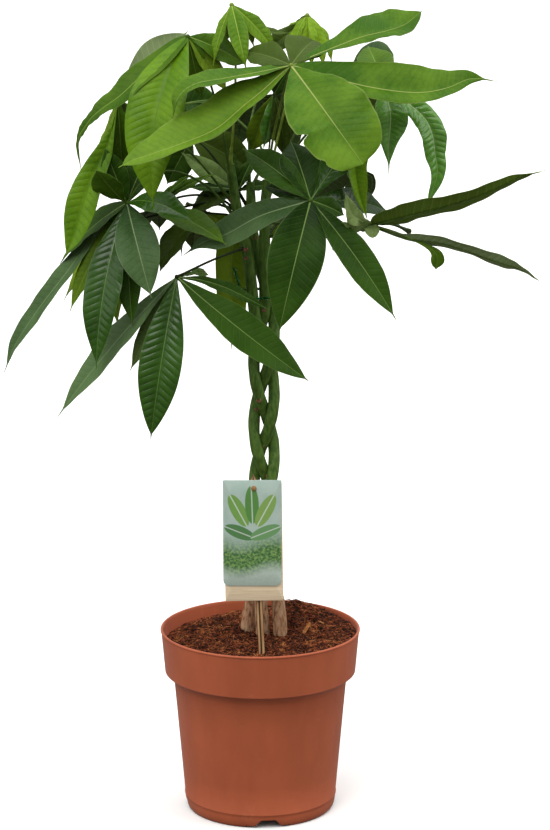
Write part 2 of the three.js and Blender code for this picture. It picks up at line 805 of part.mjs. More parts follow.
addPiece(plant, 'pot', geometryOf(potSolid()), COLOURS.pot, 0.6);

const tag = new THREE.Group();
tag.position.copy(vector(TAG.place));
const tagParts = tagPieces();
const stake = addPiece(tag, 'tag_stake', tagParts.stake, COLOURS.wood, 0.8);
stake.rotation.y = -TAG.stakeLean;
const plate = addPiece(tag, 'tag_plate', tagParts.plate, COLOURS.wood, 0.8);
plate.rotation.y = -TAG.plateLean;
addPiece(tag, 'tag_card', tagParts.card, COLOURS.card, 0.5);
addPiece(tag, 'tag_pin', tagParts.pin, COLOURS.pin, 0.6);
plant.add(tag);
plant.updateMatrixWorld(true);

const stakeHole = new THREE.BoxGeometry(
  TAG.stakeWidth + 2 * SEAT_GAP,
  TAG.stakeThickness + 2 * SEAT_GAP,
  -2 * TAG.stakeFoot + 2 * SEAT_GAP,
);
stakeHole.translate(0, TAG.plateThickness + SEAT_GAP + TAG.stakeThickness / 2, 0);
stakeHole.applyMatrix4(stake.matrixWorld);
const soil = soilSolid().subtract(stemRoom).subtract(solidFrom(stakeHole));
addPiece(plant, 'soil', geometryOf(soil), COLOURS.soil, 1);

for (const stem of STEMS) {
  addPiece(plant, stem.name, stemGeometry(stem), COLOURS.stem, 0.7);
}
addPiece(plant, 'tie', geometryOf(tieSolid(stemRoom)), COLOURS.tie, 0.4);
for (const leaf of LEAVES) {
  addPiece(plant, leaf.name, geometryOf(leafSolid(leaf, stemRoom)), COLOURS.leaf, 0.5);
}

export default plant;
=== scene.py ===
"""A braided money tree in a plastic nursery pot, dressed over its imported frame.

Sizes are in millimetres in the tables and are turned to metres where a mesh is made. The frame's own axes are
used throughout: +Z is up and the tag's side faces -Y.
"""

import logging
import math
import random
from collections.abc import Callable, Sequence
from dataclasses import dataclass, field
from enum import Enum
from functools import cache

import bpy
import numpy as np
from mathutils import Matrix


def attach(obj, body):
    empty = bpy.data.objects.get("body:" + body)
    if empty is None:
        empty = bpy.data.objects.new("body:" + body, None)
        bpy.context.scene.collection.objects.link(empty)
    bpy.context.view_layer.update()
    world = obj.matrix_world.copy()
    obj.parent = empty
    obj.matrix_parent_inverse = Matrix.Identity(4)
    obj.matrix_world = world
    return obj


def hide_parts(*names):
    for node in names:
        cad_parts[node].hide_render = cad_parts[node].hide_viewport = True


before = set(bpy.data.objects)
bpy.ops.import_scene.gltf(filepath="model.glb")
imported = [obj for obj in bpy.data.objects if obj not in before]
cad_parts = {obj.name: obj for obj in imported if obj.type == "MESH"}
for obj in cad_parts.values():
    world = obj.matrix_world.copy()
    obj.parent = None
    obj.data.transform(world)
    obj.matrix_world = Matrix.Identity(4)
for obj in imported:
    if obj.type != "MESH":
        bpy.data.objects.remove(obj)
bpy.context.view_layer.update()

MM = 0.001  # metres
ROOT = "root"
PRINT_UNIT = 100  # millimetres to one unit of the card's own map
LIGHT_THROUGH = 0.16  # share of the light that passes through a leaf blade
LOG = logging.getLogger("money_tree")
TURN = 2 * math.pi  # radians

Point = tuple[float, float, float]
Array = np.ndarray
Socket = bpy.types.NodeSocket
Thing = bpy.types.Object
Material = bpy.types.Material


# Colours and nodes


def linear(hex_colour: str) -> tuple[float, float, float, float]:
    """Turns an sRGB hex colour into linear red, green, blue and alpha.

    Args:
        hex_colour: Six hex digits, such as "a0533c".

    Returns:
        The linear colour, opaque.
    """
    channels = []
    for start in (0, 2, 4):
        value = int(hex_colour[start:start + 2], 16) / 255
        channels.append(value / 12.92 if value <= 0.04045 else ((value + 0.055) / 1.055) ** 2.4)
    return (*channels, 1.0)


def add_node(tree: bpy.types.NodeTree, kind: str, inputs: dict | None = None,
             stops: Sequence[tuple[float, str]] = (), **settings: object) -> bpy.types.Node:
    """Adds one node with its settings and links.

    Args:
        tree: The tree that gets the node.
        kind: The node's type name.
        inputs: Socket name or number to an output socket, which is linked, or to a plain value.
        stops: Places and hex colours, for a colour ramp only.
        settings: Properties of the node itself.

    Returns:
        The new node.
    """
    node = tree.nodes.new(kind)
    for name, value in settings.items():
        setattr(node, name, value)
    for socket, value in (inputs or {}).items():
        if isinstance(value, Socket):
            tree.links.new(value, node.inputs[socket])
        else:
            node.inputs[socket].default_value = value
    if stops:
        ramp = node.color_ramp
        while len(ramp.elements) < len(stops):
            ramp.elements.new(0.5)
        for element, (spot, colour) in zip(ramp.elements, stops):
            element.position = spot
            element.color = linear(colour)
    return node


class Skin:
    """A material with one Principled shader, and short calls for the nodes that feed it.

    A value in these calls is a socket or a number, and a colour is a socket or hex digits.
    """

    def __init__(self, name: str, rough: float | None = None, gloss: float | None = None) -> None:
        """Opens the material.

        Args:
            name: Its name.
            rough: The shader's roughness, where no node sets it.
            gloss: The shader's specular level, where it isn't the usual one.
        """
        self.material = bpy.data.materials.new(name)
        self.material.use_nodes = True
        self.tree = self.material.node_tree
        self.shader = self.tree.nodes["Principled BSDF"]
        for socket, value in (("Roughness", rough), ("Specular IOR Level", gloss)):
            if value is not None:
                self.shader.inputs[socket].default_value = value

    def feed(self, socket: str, value: Socket) -> None:
        """Links a socket to one of the shader's own."""
        self.tree.links.new(value, self.shader.inputs[socket])

    def where(self) -> Socket:
        """The place on the object, in metres."""
        return add_node(self.tree, "ShaderNodeTexCoord").outputs["Object"]

    def mark(self, name: str) -> Socket:
        """The number of that name that the mesh carries."""
        return add_node(self.tree, "ShaderNodeAttribute", attribute_name=name).outputs["Fac"]

    def noise(self, scale: float, detail: float = 2.0, coarse: float = 0.5, stretch: Point = (1, 1, 1),
              where: Socket | None = None) -> Socket:
        """Smooth noise.

        Args:
            scale: Its grains to a metre.
            detail: Its layers.
            coarse: How strong the finer layers are.
            stretch: Factors on the place, under 1 along the grain.
            where: The place, where it isn't the object's.

        Returns:
            The noise, about 0.5 in the middle.
        """
        where = where or self.where()
        if stretch != (1, 1, 1):
            where = add_node(self.tree, "ShaderNodeMapping", {"Vector": where, "Scale": stretch}).outputs[0]
        return add_node(self.tree, "ShaderNodeTexNoise", {"Vector": where, "Scale": scale, "Detail": detail,
                                                          "Roughness": coarse}).outputs["Fac"]

    def math(self, operation: str, *values: Socket | float, clamp: bool = False) -> Socket:
        """One sum on values."""
        return add_node(self.tree, "ShaderNodeMath", dict(enumerate(values)), operation=operation,
                        use_clamp=clamp).outputs[0]

    def span(self, value: Socket, *ends: float) -> Socket:
        """Maps a value from one pair of ends to another, or to 0 and 1."""
        return add_node(self.tree, "ShaderNodeMapRange", {"Value": value, **dict(enumerate(ends, 1))}).outputs[0]

    def mix(self, share: Socket, first: Socket | str, second: Socket | str) -> Socket:
        """Blends two colours."""
        first, second = (linear(c) if isinstance(c, str) else c for c in (first, second))
        return add_node(self.tree, "ShaderNodeMix", {"Factor": share, "A": first, "B": second},
                        data_type="RGBA").outputs["Result"]

    def ramp(self, share: Socket, *stops: tuple[float, str]) -> Socket:
        """A ramp of colours."""
        return add_node(self.tree, "ShaderNodeValToRGB", {"Fac": share}, stops).outputs["Color"]

    def parts(self, where: Socket) -> bpy.types.NodeOutputs:
        """The X, Y and Z of a place."""
        return add_node(self.tree, "ShaderNodeSeparateXYZ", {0: where}).outputs

    def bump(self, height: Socket, strength: Socket | float, distance: float) -> None:
        """Gives the shader a relief, its height in metres."""
        self.feed("Normal", add_node(self.tree, "ShaderNodeBump", {
            "Height": height, "Strength": strength, "Distance": distance}).outputs[0])


@dataclass(frozen=True)
class GrainFinish:
    """A plain material whose colour, and relief where it has one, follow one grain.

    Attributes:
        name: The real material's name.
        stops: Places and colours of the grain, from its hollows up.
        scale: Grains to a metre.
        rough: Roughness of the surface.
        gloss: Specular level.
        detail: Layers of the grain.
        coarse: How strong its finer layers are.
        stretch: Factors on the place, under 1 along the grain.
        relief: Strength and height in metres of its relief.
        patches: Whether broad patches 20 mm wide shade it too.
        metal: How metallic it is.
    """

    name: str
    stops: tuple[tuple[float, str], ...]
    scale: float
    rough: float
    gloss: float = 0.5
    detail: float = 2.0
    coarse: float = 0.5
    stretch: Point = (1, 1, 1)
    relief: tuple[float, float] = (0.0, 0.0)
    patches: bool = False
    metal: float = 0.0

    @cache
    def material(self) -> Material:
        """The material, made once."""
        skin = Skin(self.name, self.rough, self.gloss)
        grain = skin.noise(self.scale, self.detail, self.coarse, self.stretch)
        shade = skin.math("MULTIPLY_ADD", skin.noise(55.0, 3.0), 0.6, grain) if self.patches else grain
        skin.feed("Base Color", skin.ramp(shade, *self.stops))
        skin.shader.inputs["Metallic"].default_value = self.metal
        if self.relief[0]:
            skin.bump(grain, *self.relief)
        return skin.material


# Paths


class Path:
    """A smooth line in space, in millimetres, read at shares of its way from 0 to 1."""

    def __init__(self, read: Callable[[Array], Array], steps: int = 400) -> None:
        """Keeps the reader and measures the line.

        Args:
            read: Gives the points at an array of parameters from 0 to 1.
            steps: How finely the length is measured.
        """
        self.read = read
        self.grid = np.linspace(0, 1, steps + 1)
        places = read(self.grid)
        lengths = np.linalg.norm(np.diff(places, axis=0), axis=1)
        self.reach = np.concatenate([[0], np.cumsum(lengths)])

    @property
    def length(self) -> float:
        """The line's length in millimetres."""
        return float(self.reach[-1])

    def spots(self, shares: Array) -> Array:
        """Points at these shares of the length."""
        return self.read(np.interp(np.asarray(shares) * self.length, self.reach, self.grid))

    def tangents(self, parameters: Array) -> Array:
        """Unit directions of the line at these parameters."""
        low = np.clip(parameters - 1e-4, 0, 1)
        high = np.clip(parameters + 1e-4, 0, 1)
        return unit(self.read(high) - self.read(low))


def unit(vectors: Array) -> Array:
    """Scales each vector to length 1."""
    vectors = np.asarray(vectors, float)
    return vectors / np.maximum(np.linalg.norm(vectors, axis=-1, keepdims=True), 1e-12)


def through(points: Sequence[Point], centripetal: bool = True) -> Path:
    """Leads a Catmull-Rom line through points.

    Args:
        points: The places to pass, in order.
        centripetal: Whether the knots follow the distances, which keeps loops out of uneven points.

    Returns:
        The path, with the same parameter for each gap between points.
    """
    spots = np.asarray(points, float)
    knots = np.vstack([2 * spots[0] - spots[1], spots, 2 * spots[-1] - spots[-2]])
    gaps = len(spots) - 1

    def read(parameters: Array) -> Array:
        place = np.clip(np.asarray(parameters, float), 0, 1) * gaps
        number = np.minimum(place.astype(int), gaps - 1)
        share = (place - number)[:, None]
        a, b, c, d = (knots[number + k] for k in range(4))
        if centripetal:
            first, middle, last = (np.maximum(np.linalg.norm(q - p, axis=1, keepdims=True) ** 0.5, 1e-4)
                                   for p, q in ((a, b), (b, c), (c, d)))
            start = ((b - a) / first - (c - a) / (first + middle) + (c - b) / middle) * middle
            end = ((c - b) / middle - (d - b) / (middle + last) + (d - c) / last) * middle
        else:
            start, end = 0.5 * (c - a), 0.5 * (d - b)
        square = -3 * b + 3 * c - 2 * start - end
        cube = 2 * b - 2 * c + start + end
        return b + start * share + square * share ** 2 + cube * share ** 3

    return Path(read)


def bowed(start: Array, middle: Array, end: Array) -> Path:
    """A quadratic arc from start to end that is pulled towards middle."""

    def read(parameters: Array) -> Array:
        t = np.asarray(parameters, float)[:, None]
        return (1 - t) ** 2 * start + 2 * t * (1 - t) * middle + t ** 2 * end

    return Path(read)


# Meshes


@dataclass
class Shell:
    """Vertices and faces that are gathered before they become one mesh.

    Attributes:
        points: Blocks of vertices, in millimetres.
        faces: Corner numbers of each face.
        slots: The material slot of each face.
        marks: Named numbers of each vertex, which materials read.
    """

    points: list[Array] = field(default_factory=list)
    faces: list[tuple[int, ...]] = field(default_factory=list)
    slots: list[int] = field(default_factory=list)
    marks: dict[str, list[Array]] = field(default_factory=dict)

    @property
    def count(self) -> int:
        """How many vertices it holds."""
        return sum(len(block) for block in self.points)

    def add(self, points: Array, faces: Sequence[tuple[int, ...]], slots: int | Sequence[int] = 0,
            **marks: Array | float) -> None:
        """Adds a closed piece.

        Args:
            points: Its vertices.
            faces: Its faces, numbered within the piece.
            slots: One slot for all faces, or one for each.
            marks: Named numbers, one for each vertex or one for all.
        """
        before = self.count
        for name in set(marks) | set(self.marks):
            blocks = self.marks.setdefault(name, [np.zeros(before)] if before else [])
            blocks.append(np.broadcast_to(np.asarray(marks.get(name, 0.0), float), (len(points),)))
        self.points.append(np.asarray(points, float))
        self.faces.extend(tuple(corner + before for corner in face) for face in faces)
        self.slots.extend([slots] * len(faces) if isinstance(slots, int) else slots)

    def build(self, name: str, materials: Sequence[Material], sharp: float = 50) -> Thing:
        """Makes the object, smooth but for edges sharper than the given angle.

        Args:
            name: The object's name.
            materials: Its materials, by slot.
            sharp: Angle in degrees above which an edge stays sharp.

        Returns:
            The object, linked to the scene, with its place in its mesh.
        """
        mesh = bpy.data.meshes.new(name)
        mesh.from_pydata((np.vstack(self.points) * MM).tolist(), [], self.faces)
        mesh.polygons.foreach_set("material_index", self.slots)
        for mark, blocks in self.marks.items():
            attribute = mesh.attributes.new(mark, "FLOAT", "POINT")
            attribute.data.foreach_set("value", np.concatenate(blocks))
        mesh.polygons.foreach_set("use_smooth", [True] * len(mesh.polygons))
        mesh.update()
        mesh.set_sharp_from_angle(angle=math.radians(sharp))
        return place(name, mesh, materials)


def show(thing: Thing) -> Thing:
    """Links an object to the scene."""
    bpy.context.scene.collection.objects.link(thing)
    return thing


def place(name: str, mesh: bpy.types.Mesh, materials: Sequence[Material]) -> Thing:
    """Links a mesh to the scene as an object at the origin and gives it its materials."""
    thing = show(bpy.data.objects.new(name, mesh))
    for material in materials:
        if material.name not in [m.name for m in mesh.materials if m]:
            mesh.materials.append(material)
    return thing


def solid(name: str, points: Array | Sequence[Point], faces: Sequence[tuple[int, ...]],
          materials: Sequence[Material], sharp: float, slots: int | Sequence[int] = 0) -> Thing:
    """Makes an object of one closed piece.

    Args:
        name: The object's name.
        points: Its vertices, in millimetres.
        faces: Its faces.
        materials: Its materials, by slot.
        sharp: Angle in degrees above which an edge stays sharp.
        slots: One slot for all faces, or one for each.

    Returns:
        The object.
    """
    shell = Shell()
    shell.add(np.asarray(points, float), faces, slots)
    return shell.build(name, materials, sharp)


def angles_round(count: int) -> Array:
    """That many even angles round a circle."""
    return np.linspace(0, TURN, count, endpoint=False)


def lathed(profile: Sequence[tuple[float, float]], count: int) -> Array:
    """Rings round the upright axis, from radii and heights."""
    angles = angles_round(count)
    rings = [np.stack([radius * np.cos(angles), radius * np.sin(angles), np.full(count, height)], axis=1)
             for radius, height in profile]
    return np.concatenate(rings)


def ring_faces(rings: int, sides: int, closed_ends: bool = True, flip: bool = False) -> list[tuple[int, ...]]:
    """Faces of rows of vertices that are joined ring to ring.

    Args:
        rings: Number of rings, in order along the piece.
        sides: Vertices in each ring, counterclockwise as seen from the far end.
        closed_ends: Whether the first and last ring get a cap.
        flip: Whether the rings run clockwise instead.

    Returns:
        The faces, which point outwards.
    """
    faces: list[tuple[int, ...]] = []
    for i in range(rings - 1):
        for k in range(sides):
            a, b = i * sides + k, i * sides + (k + 1) % sides
            faces.append((a, b, b + sides, a + sides))
    if closed_ends:
        faces.append(tuple(reversed(range(sides))))
        faces.append(tuple(range((rings - 1) * sides, rings * sides)))
    return [face[::-1] for face in faces] if flip else faces


def spokes(places: Array, sides: int) -> Array:
    """Directions out from a line to all sides, carried along it without twist.

    Args:
        places: Points along the line.
        sides: How many directions at each point.

    Returns:
        Unit vectors, by point and side.
    """
    along = unit(np.gradient(places, axis=0))
    start = np.array([0.0, 0.0, 1.0]) if abs(along[0][2]) < 0.9 else np.array([0.0, 1.0, 0.0])
    first = np.zeros_like(places)
    for i, direction in enumerate(along):
        start = start - direction * float(start @ direction)
        start = start / np.linalg.norm(start)
        first[i] = start
    angles = angles_round(sides)
    return (np.cos(angles)[None, :, None] * first[:, None, :]
            + np.sin(angles)[None, :, None] * np.cross(along, first)[:, None, :])


def tube(shell: Shell, places: Array, radii: Array, sides: int = 8, slot: int = 0) -> None:
    """Adds a closed round tube to a shell.

    Args:
        shell: The shell that gets it.
        places: Centres, in millimetres.
        radii: Radius at each centre.
        sides: Sides of the section.
        slot: Material slot.
    """
    points = places[:, None, :] + np.asarray(radii)[:, None, None] * spokes(places, sides)
    shell.add(points.reshape(-1, 3), ring_faces(len(places), sides), slot)


def hand_over(thing: Thing, slot: str, *nodes: str) -> Thing:
    """Lets a finished piece ride on the root body, hides the nodes that it replaces and logs its face count.

    Args:
        thing: The finished piece.
        slot: Not used.
        nodes: The nodes that it replaces, if any.

    Returns:
        The piece.
    """
    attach(thing, ROOT)
    if nodes:
        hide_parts(*nodes)
    LOG.info("%s: %d faces", thing.name, len(thing.data.polygons))
    return thing


# Geometry Nodes


class NodesRecipe:
    """A Geometry Nodes tree with named inputs, run once on an object and turned into a plain mesh."""

    KINDS = ((Thing, "Object"), (bpy.types.Collection, "Collection"), (int, "Int"), (float, "Float"))

    def __init__(self, name: str, inputs: dict[str, object]) -> None:
        """Opens the tree.

        Args:
            name: The tree's name, which the finished piece gets too.
            inputs: Input name to its value.
        """
        self.name = name
        self.tree = bpy.data.node_groups.new(name, "GeometryNodeTree")
        face = self.tree.interface
        for way in ("INPUT", "OUTPUT"):
            face.new_socket("Geometry", in_out=way, socket_type="NodeSocketGeometry")
        self.values = {}
        for label, value in inputs.items():
            kind = next(word for base, word in self.KINDS if isinstance(value, base))
            socket = face.new_socket(label, in_out="INPUT", socket_type=f"NodeSocket{kind}")
            self.values[socket.identifier] = value
        self.start = self.tree.nodes.new("NodeGroupInput")
        self.end = self.tree.nodes.new("NodeGroupOutput")

    def add(self, kind: str, inputs: dict, output: int | str = 0, **settings: object) -> Socket:
        """Adds a node.

        Args:
            kind: The node's type name.
            inputs: As for add_node, and the name of a named input of the tree links that input.
            output: The output that is wanted.
            settings: Properties of the node.

        Returns:
            That output's socket.
        """
        links = {key: self.start.outputs[value] if isinstance(value, str) and value in self.start.outputs else value
                 for key, value in inputs.items()}
        return add_node(self.tree, kind, links, **settings).outputs[output]

    def strew(self, points: Socket, shape: Socket, turns: tuple[Point, Point], **more: object) -> Socket:
        """Copies a shape to points, with turns and sizes drawn by the tree's seed.

        Args:
            points: The points.
            shape: The shape or shapes.
            turns: Least and most turn about each axis.
            more: More inputs of the copying node, with _ for a blank.

        Returns:
            The copies.
        """
        turn = self.add("FunctionNodeRandomValue", {"Min": turns[0], "Max": turns[1], "Seed": "Seed"},
                        data_type="FLOAT_VECTOR")
        size = self.add("FunctionNodeRandomValue", {2: "Least scale", 3: "Most scale", "Seed": "Seed"}, 1,
                        data_type="FLOAT")
        return self.add("GeometryNodeInstanceOnPoints", {
            "Points": points, "Instance": shape, "Scale": size,
            "Rotation": self.add("FunctionNodeEulerToRotation", {0: turn}),
            **{key.replace("_", " "): value for key, value in more.items()}})

    def run(self, geometry: Socket, host: Thing, material: Material) -> Thing:
        """Ends the tree with real geometry in one material, runs it on a host and removes both.

        Args:
            geometry: What the tree has made.
            host: A helper object that carries the input geometry.
            material: The material that the tree sets.

        Returns:
            The finished piece with a plain mesh.
        """
        real = self.add("GeometryNodeRealizeInstances", {"Geometry": geometry})
        self.tree.links.new(self.add("GeometryNodeSetMaterial", {"Geometry": real, "Material": material}),
                            self.end.inputs[0])
        modifier = host.modifiers.new("recipe", "NODES")
        modifier.node_group = self.tree
        for identifier, value in self.values.items():
            modifier[identifier] = value
        graph = bpy.context.evaluated_depsgraph_get()
        mesh = bpy.data.meshes.new_from_object(host.evaluated_get(graph))
        mesh.name = self.name
        host.modifiers.remove(modifier)
        bpy.data.objects.remove(host)
        bpy.data.node_groups.remove(self.tree)
        return place(self.name, mesh, [material])


def spots_host(name: str, spots: Array) -> Thing:
    """A helper object of loose vertices, in millimetres."""
    mesh = bpy.data.meshes.new(name)
    mesh.from_pydata((spots * MM).tolist(), [], [])
    return place(name, mesh, [])


# Leaf finishes


@dataclass(frozen=True)
class LeafFinish:
    """A living leaf blade: a waxy upper skin over green flesh, and a paler dull underside.

    Attributes:
        name: Plain name of the tone.
        deep: Colour of the shaded flesh between the veins.
        fresh: Colour of the lit flesh.
        rib: Colour of the middle rib from above.
        under: Colour of the underside.
        under_rib: Colour of the ribs from below.
        roughness: Roughness of the wax on the upper side.
        lines: How strongly the side veins show, from 0 to 1.
        gloss: How strongly the wax reflects, as the shader's specular level.
    """

    name: str
    deep: str
    fresh: str
    rib: str
    under: str
    under_rib: str
    roughness: float = 0.42
    lines: float = 0.35
    gloss: float = 0.1

    @cache
    def sides(self) -> tuple[Material, Material]:
        """The waxy upper side, and the paler dull underside, where there is no wax and more hair."""
        return (self._side("leaf_wax", (self.deep, self.fresh, self.rib), self.lines, self.roughness, self.gloss),
                self._side("leaf_underside", (self.under, self.under, self.under_rib), 0.5, 0.6, 0.1))

    def _side(self, kind: str, colours: tuple[str, str, str], lines: float, roughness: float,
              gloss: float) -> Material:
        """One side: mottled green with painted light on the bulges between the veins, veins 6 mm apart, a rib and a
        thin margin, and some light let through.

        Args:
            kind: What the side is.
            colours: Darker flesh, lighter flesh, and ribs.
            lines: Strength of the side veins.
            roughness: Middle value of the roughness.
            gloss: Specular level.

        Returns:
            The material.
        """
        skin = Skin(f"{kind}_{self.name}", gloss=gloss)
        broad, fine = skin.noise(30.0, 3.0), skin.noise(420.0)
        vein, relief, tint, across, rib_half, edge = (
            skin.mark(name) for name in ("vein", "relief", "tint", "across_mm", "rib_mm", "edge"))
        bulge = skin.math("ABSOLUTE", skin.math("SINE", skin.math("MULTIPLY", vein, math.pi)))
        speck = skin.math("MULTIPLY_ADD", fine, 0.4, -0.26)
        # The bulges between the side veins are painted lighter, as painted light on the quilting, over the fine
        # specks.
        raised = skin.math("MULTIPLY_ADD", bulge, 0.12, speck)
        mixed = skin.math("ADD", skin.span(broad, 0.36, 0.64, 0.28, 0.72), raised)
        flesh = skin.mix(skin.math("ADD", mixed, tint, clamp=True), *colours[:2])

        inside = skin.math("SUBTRACT", rib_half, skin.math("ABSOLUTE", across))
        drawn = skin.math("MAXIMUM", skin.span(bulge, 0.02, 0.24, lines, 0.0), skin.span(inside, -0.25, 0.15))
        drawn = skin.math("MAXIMUM", drawn, skin.span(edge, 0.955, 1.0, 0.0, 0.4))
        colour = skin.mix(drawn, flesh, colours[2])
        skin.feed("Base Color", colour)
        skin.feed("Roughness", skin.span(broad, 0.3, 0.7, roughness - 0.06, roughness + 0.08))
        quilt = skin.math("MULTIPLY", skin.math("POWER", bulge, 0.6), relief)
        skin.bump(skin.math("MULTIPLY_ADD", fine, 0.06, quilt), 1.0, 0.001)
        glow = add_node(skin.tree, "ShaderNodeBsdfTranslucent", {"Color": colour})
        both = add_node(skin.tree, "ShaderNodeMixShader", {0: LIGHT_THROUGH, 1: skin.shader.outputs[0],
                                                            2: glow.outputs[0]})
        skin.tree.links.new(both.outputs[0], skin.tree.nodes["Material Output"].inputs["Surface"])
        return skin.material


class LeafTone(Enum):
    """The tones of leaf on the plant, from young to old. BACKLIT is lighter as painted light that shines through
    from behind, and DEEP and OLIVE are darker partly as painted shade inside the crown.
    """

    YOUNG = LeafFinish("young", "446d08", "7ba01f", "9fb54c", "6d8c2c", "94aa58", 0.36, 0.12, 0.1)
    LIME = LeafFinish("lime", "446f06", "7ca41c", "5c7e1c", "7f9a3c", "a9b873", 0.32, 0.14, 0.14)
    FRESH = LeafFinish("fresh", "376107", "739626", "a0aa62", "6a8236", "98a66a", 0.45, 0.08)
    MID = LeafFinish("mid", "305606", "5c7e1a", "86a048", "6a8438", "94a66a", 0.42, 0.12)
    # DEEP: dark green, made darker still as painted shade inside the crown.
    DEEP = LeafFinish("deep", "163204", "3a5c16", "86a258", "4f6634", "8b9c6e", 0.42, 0.12)
    GLOSSY = LeafFinish("glossy", "163405", "365e12", "6c8c44", "4f6634", "8b9c6e", 0.24, 0.12, 0.34)
    DUSTY = LeafFinish("dusty", "28481a", "5a7746", "8fa573", "5d7342", "93a378", 0.45, 0.14, 0.16)
    # OLIVE: dull olive, made darker partly as painted shade inside the crown.
    OLIVE = LeafFinish("olive", "202f08", "44591a", "66783a", "506030", "7f8c5a", 0.42, 0.1)
    PALE = LeafFinish("pale", "4c6e26", "8ba35e", "a2b070", "7f9160", "a9b68c", 0.5, 0.14, 0.16)
    BACKLIT = LeafFinish("backlit", "40610a", "769420", "8da047", "64802a", "93a558", 0.45, 0.12)
    WAXY = LeafFinish("waxy", "3f7a14", "6fa83c", "b4c890", "7f9160", "a9b68c", 0.22, 0.14, 0.55)


def stalk_skin(name: str, skin: str, shade: str) -> GrainFinish:
    """Green leaf stalk: smooth living skin, half glossy, with faint streaks about 1 mm wide."""
    return GrainFinish(f"leaf_stalk_{name}", ((0.35, shade), (0.65, skin)), 160.0, 0.45, 0.15)


class StalkTone(Enum):
    """The tones of leaf stalk: pale where the light reaches, dark inside the crown."""

    PALE = stalk_skin("pale", "7f9238", "5f7424")
    GREEN = stalk_skin("green", "4a6420", "344a14")
    DARK = stalk_skin("dark", "2c3c14", "20280e")


# Leaves


@dataclass(frozen=True)
class Finger:
    """One leaflet, in millimetres, as it grows from the hub.

    Attributes:
        tip: Where it ends.
        width: Its widest part.
        rise: How far it arches towards the side that it faces.
        sway: How far it bends sideways.
        roll: Turn about its own length, in degrees.
        widest: Share of the length where it is widest.
        tail: Share of the length from which it is a ribbon.
        via: Points that lead it instead of an arch.
        facing: Direction of its upper side, where it isn't the leaf's.
        tone: Its tone, where it isn't the leaf's.
        fold: How steeply the halves rise from the rib, as a share of the half width.
        droop: How far the margins hang back from that slope.
        skew: How far the rib lies off the middle, as a share of the half width.
        blunt: How much fuller its end is than a plain oval.
        wave: Height of the margin's waves.
        waves: Number of waves along a margin.
        quilt: Height of the bulges between the side veins.
        drip: Share of the length that is drawn out to a thin tip.
        tint: Lighter above 0, darker below.
        fade: How much lighter the tip is than the base.
        torn: Small tears: share of the length, side and depth.
    """

    tip: Point
    width: float
    rise: float = 0.0
    sway: float = 0.0
    roll: float = 0.0
    widest: float = 0.55
    tail: float = 2.0
    via: tuple[Point, ...] = ()
    facing: Point | None = None
    tone: LeafTone | None = None
    fold: float = 0.36
    droop: float = 0.16
    skew: float = 0.0
    blunt: float = 0.0
    wave: float = 0.8
    waves: float = 3.0
    quilt: float = 0.25
    drip: float = 0.07
    tint: float = 0.0
    fade: float = 0.25
    torn: tuple[tuple[float, int, float], ...] = ()


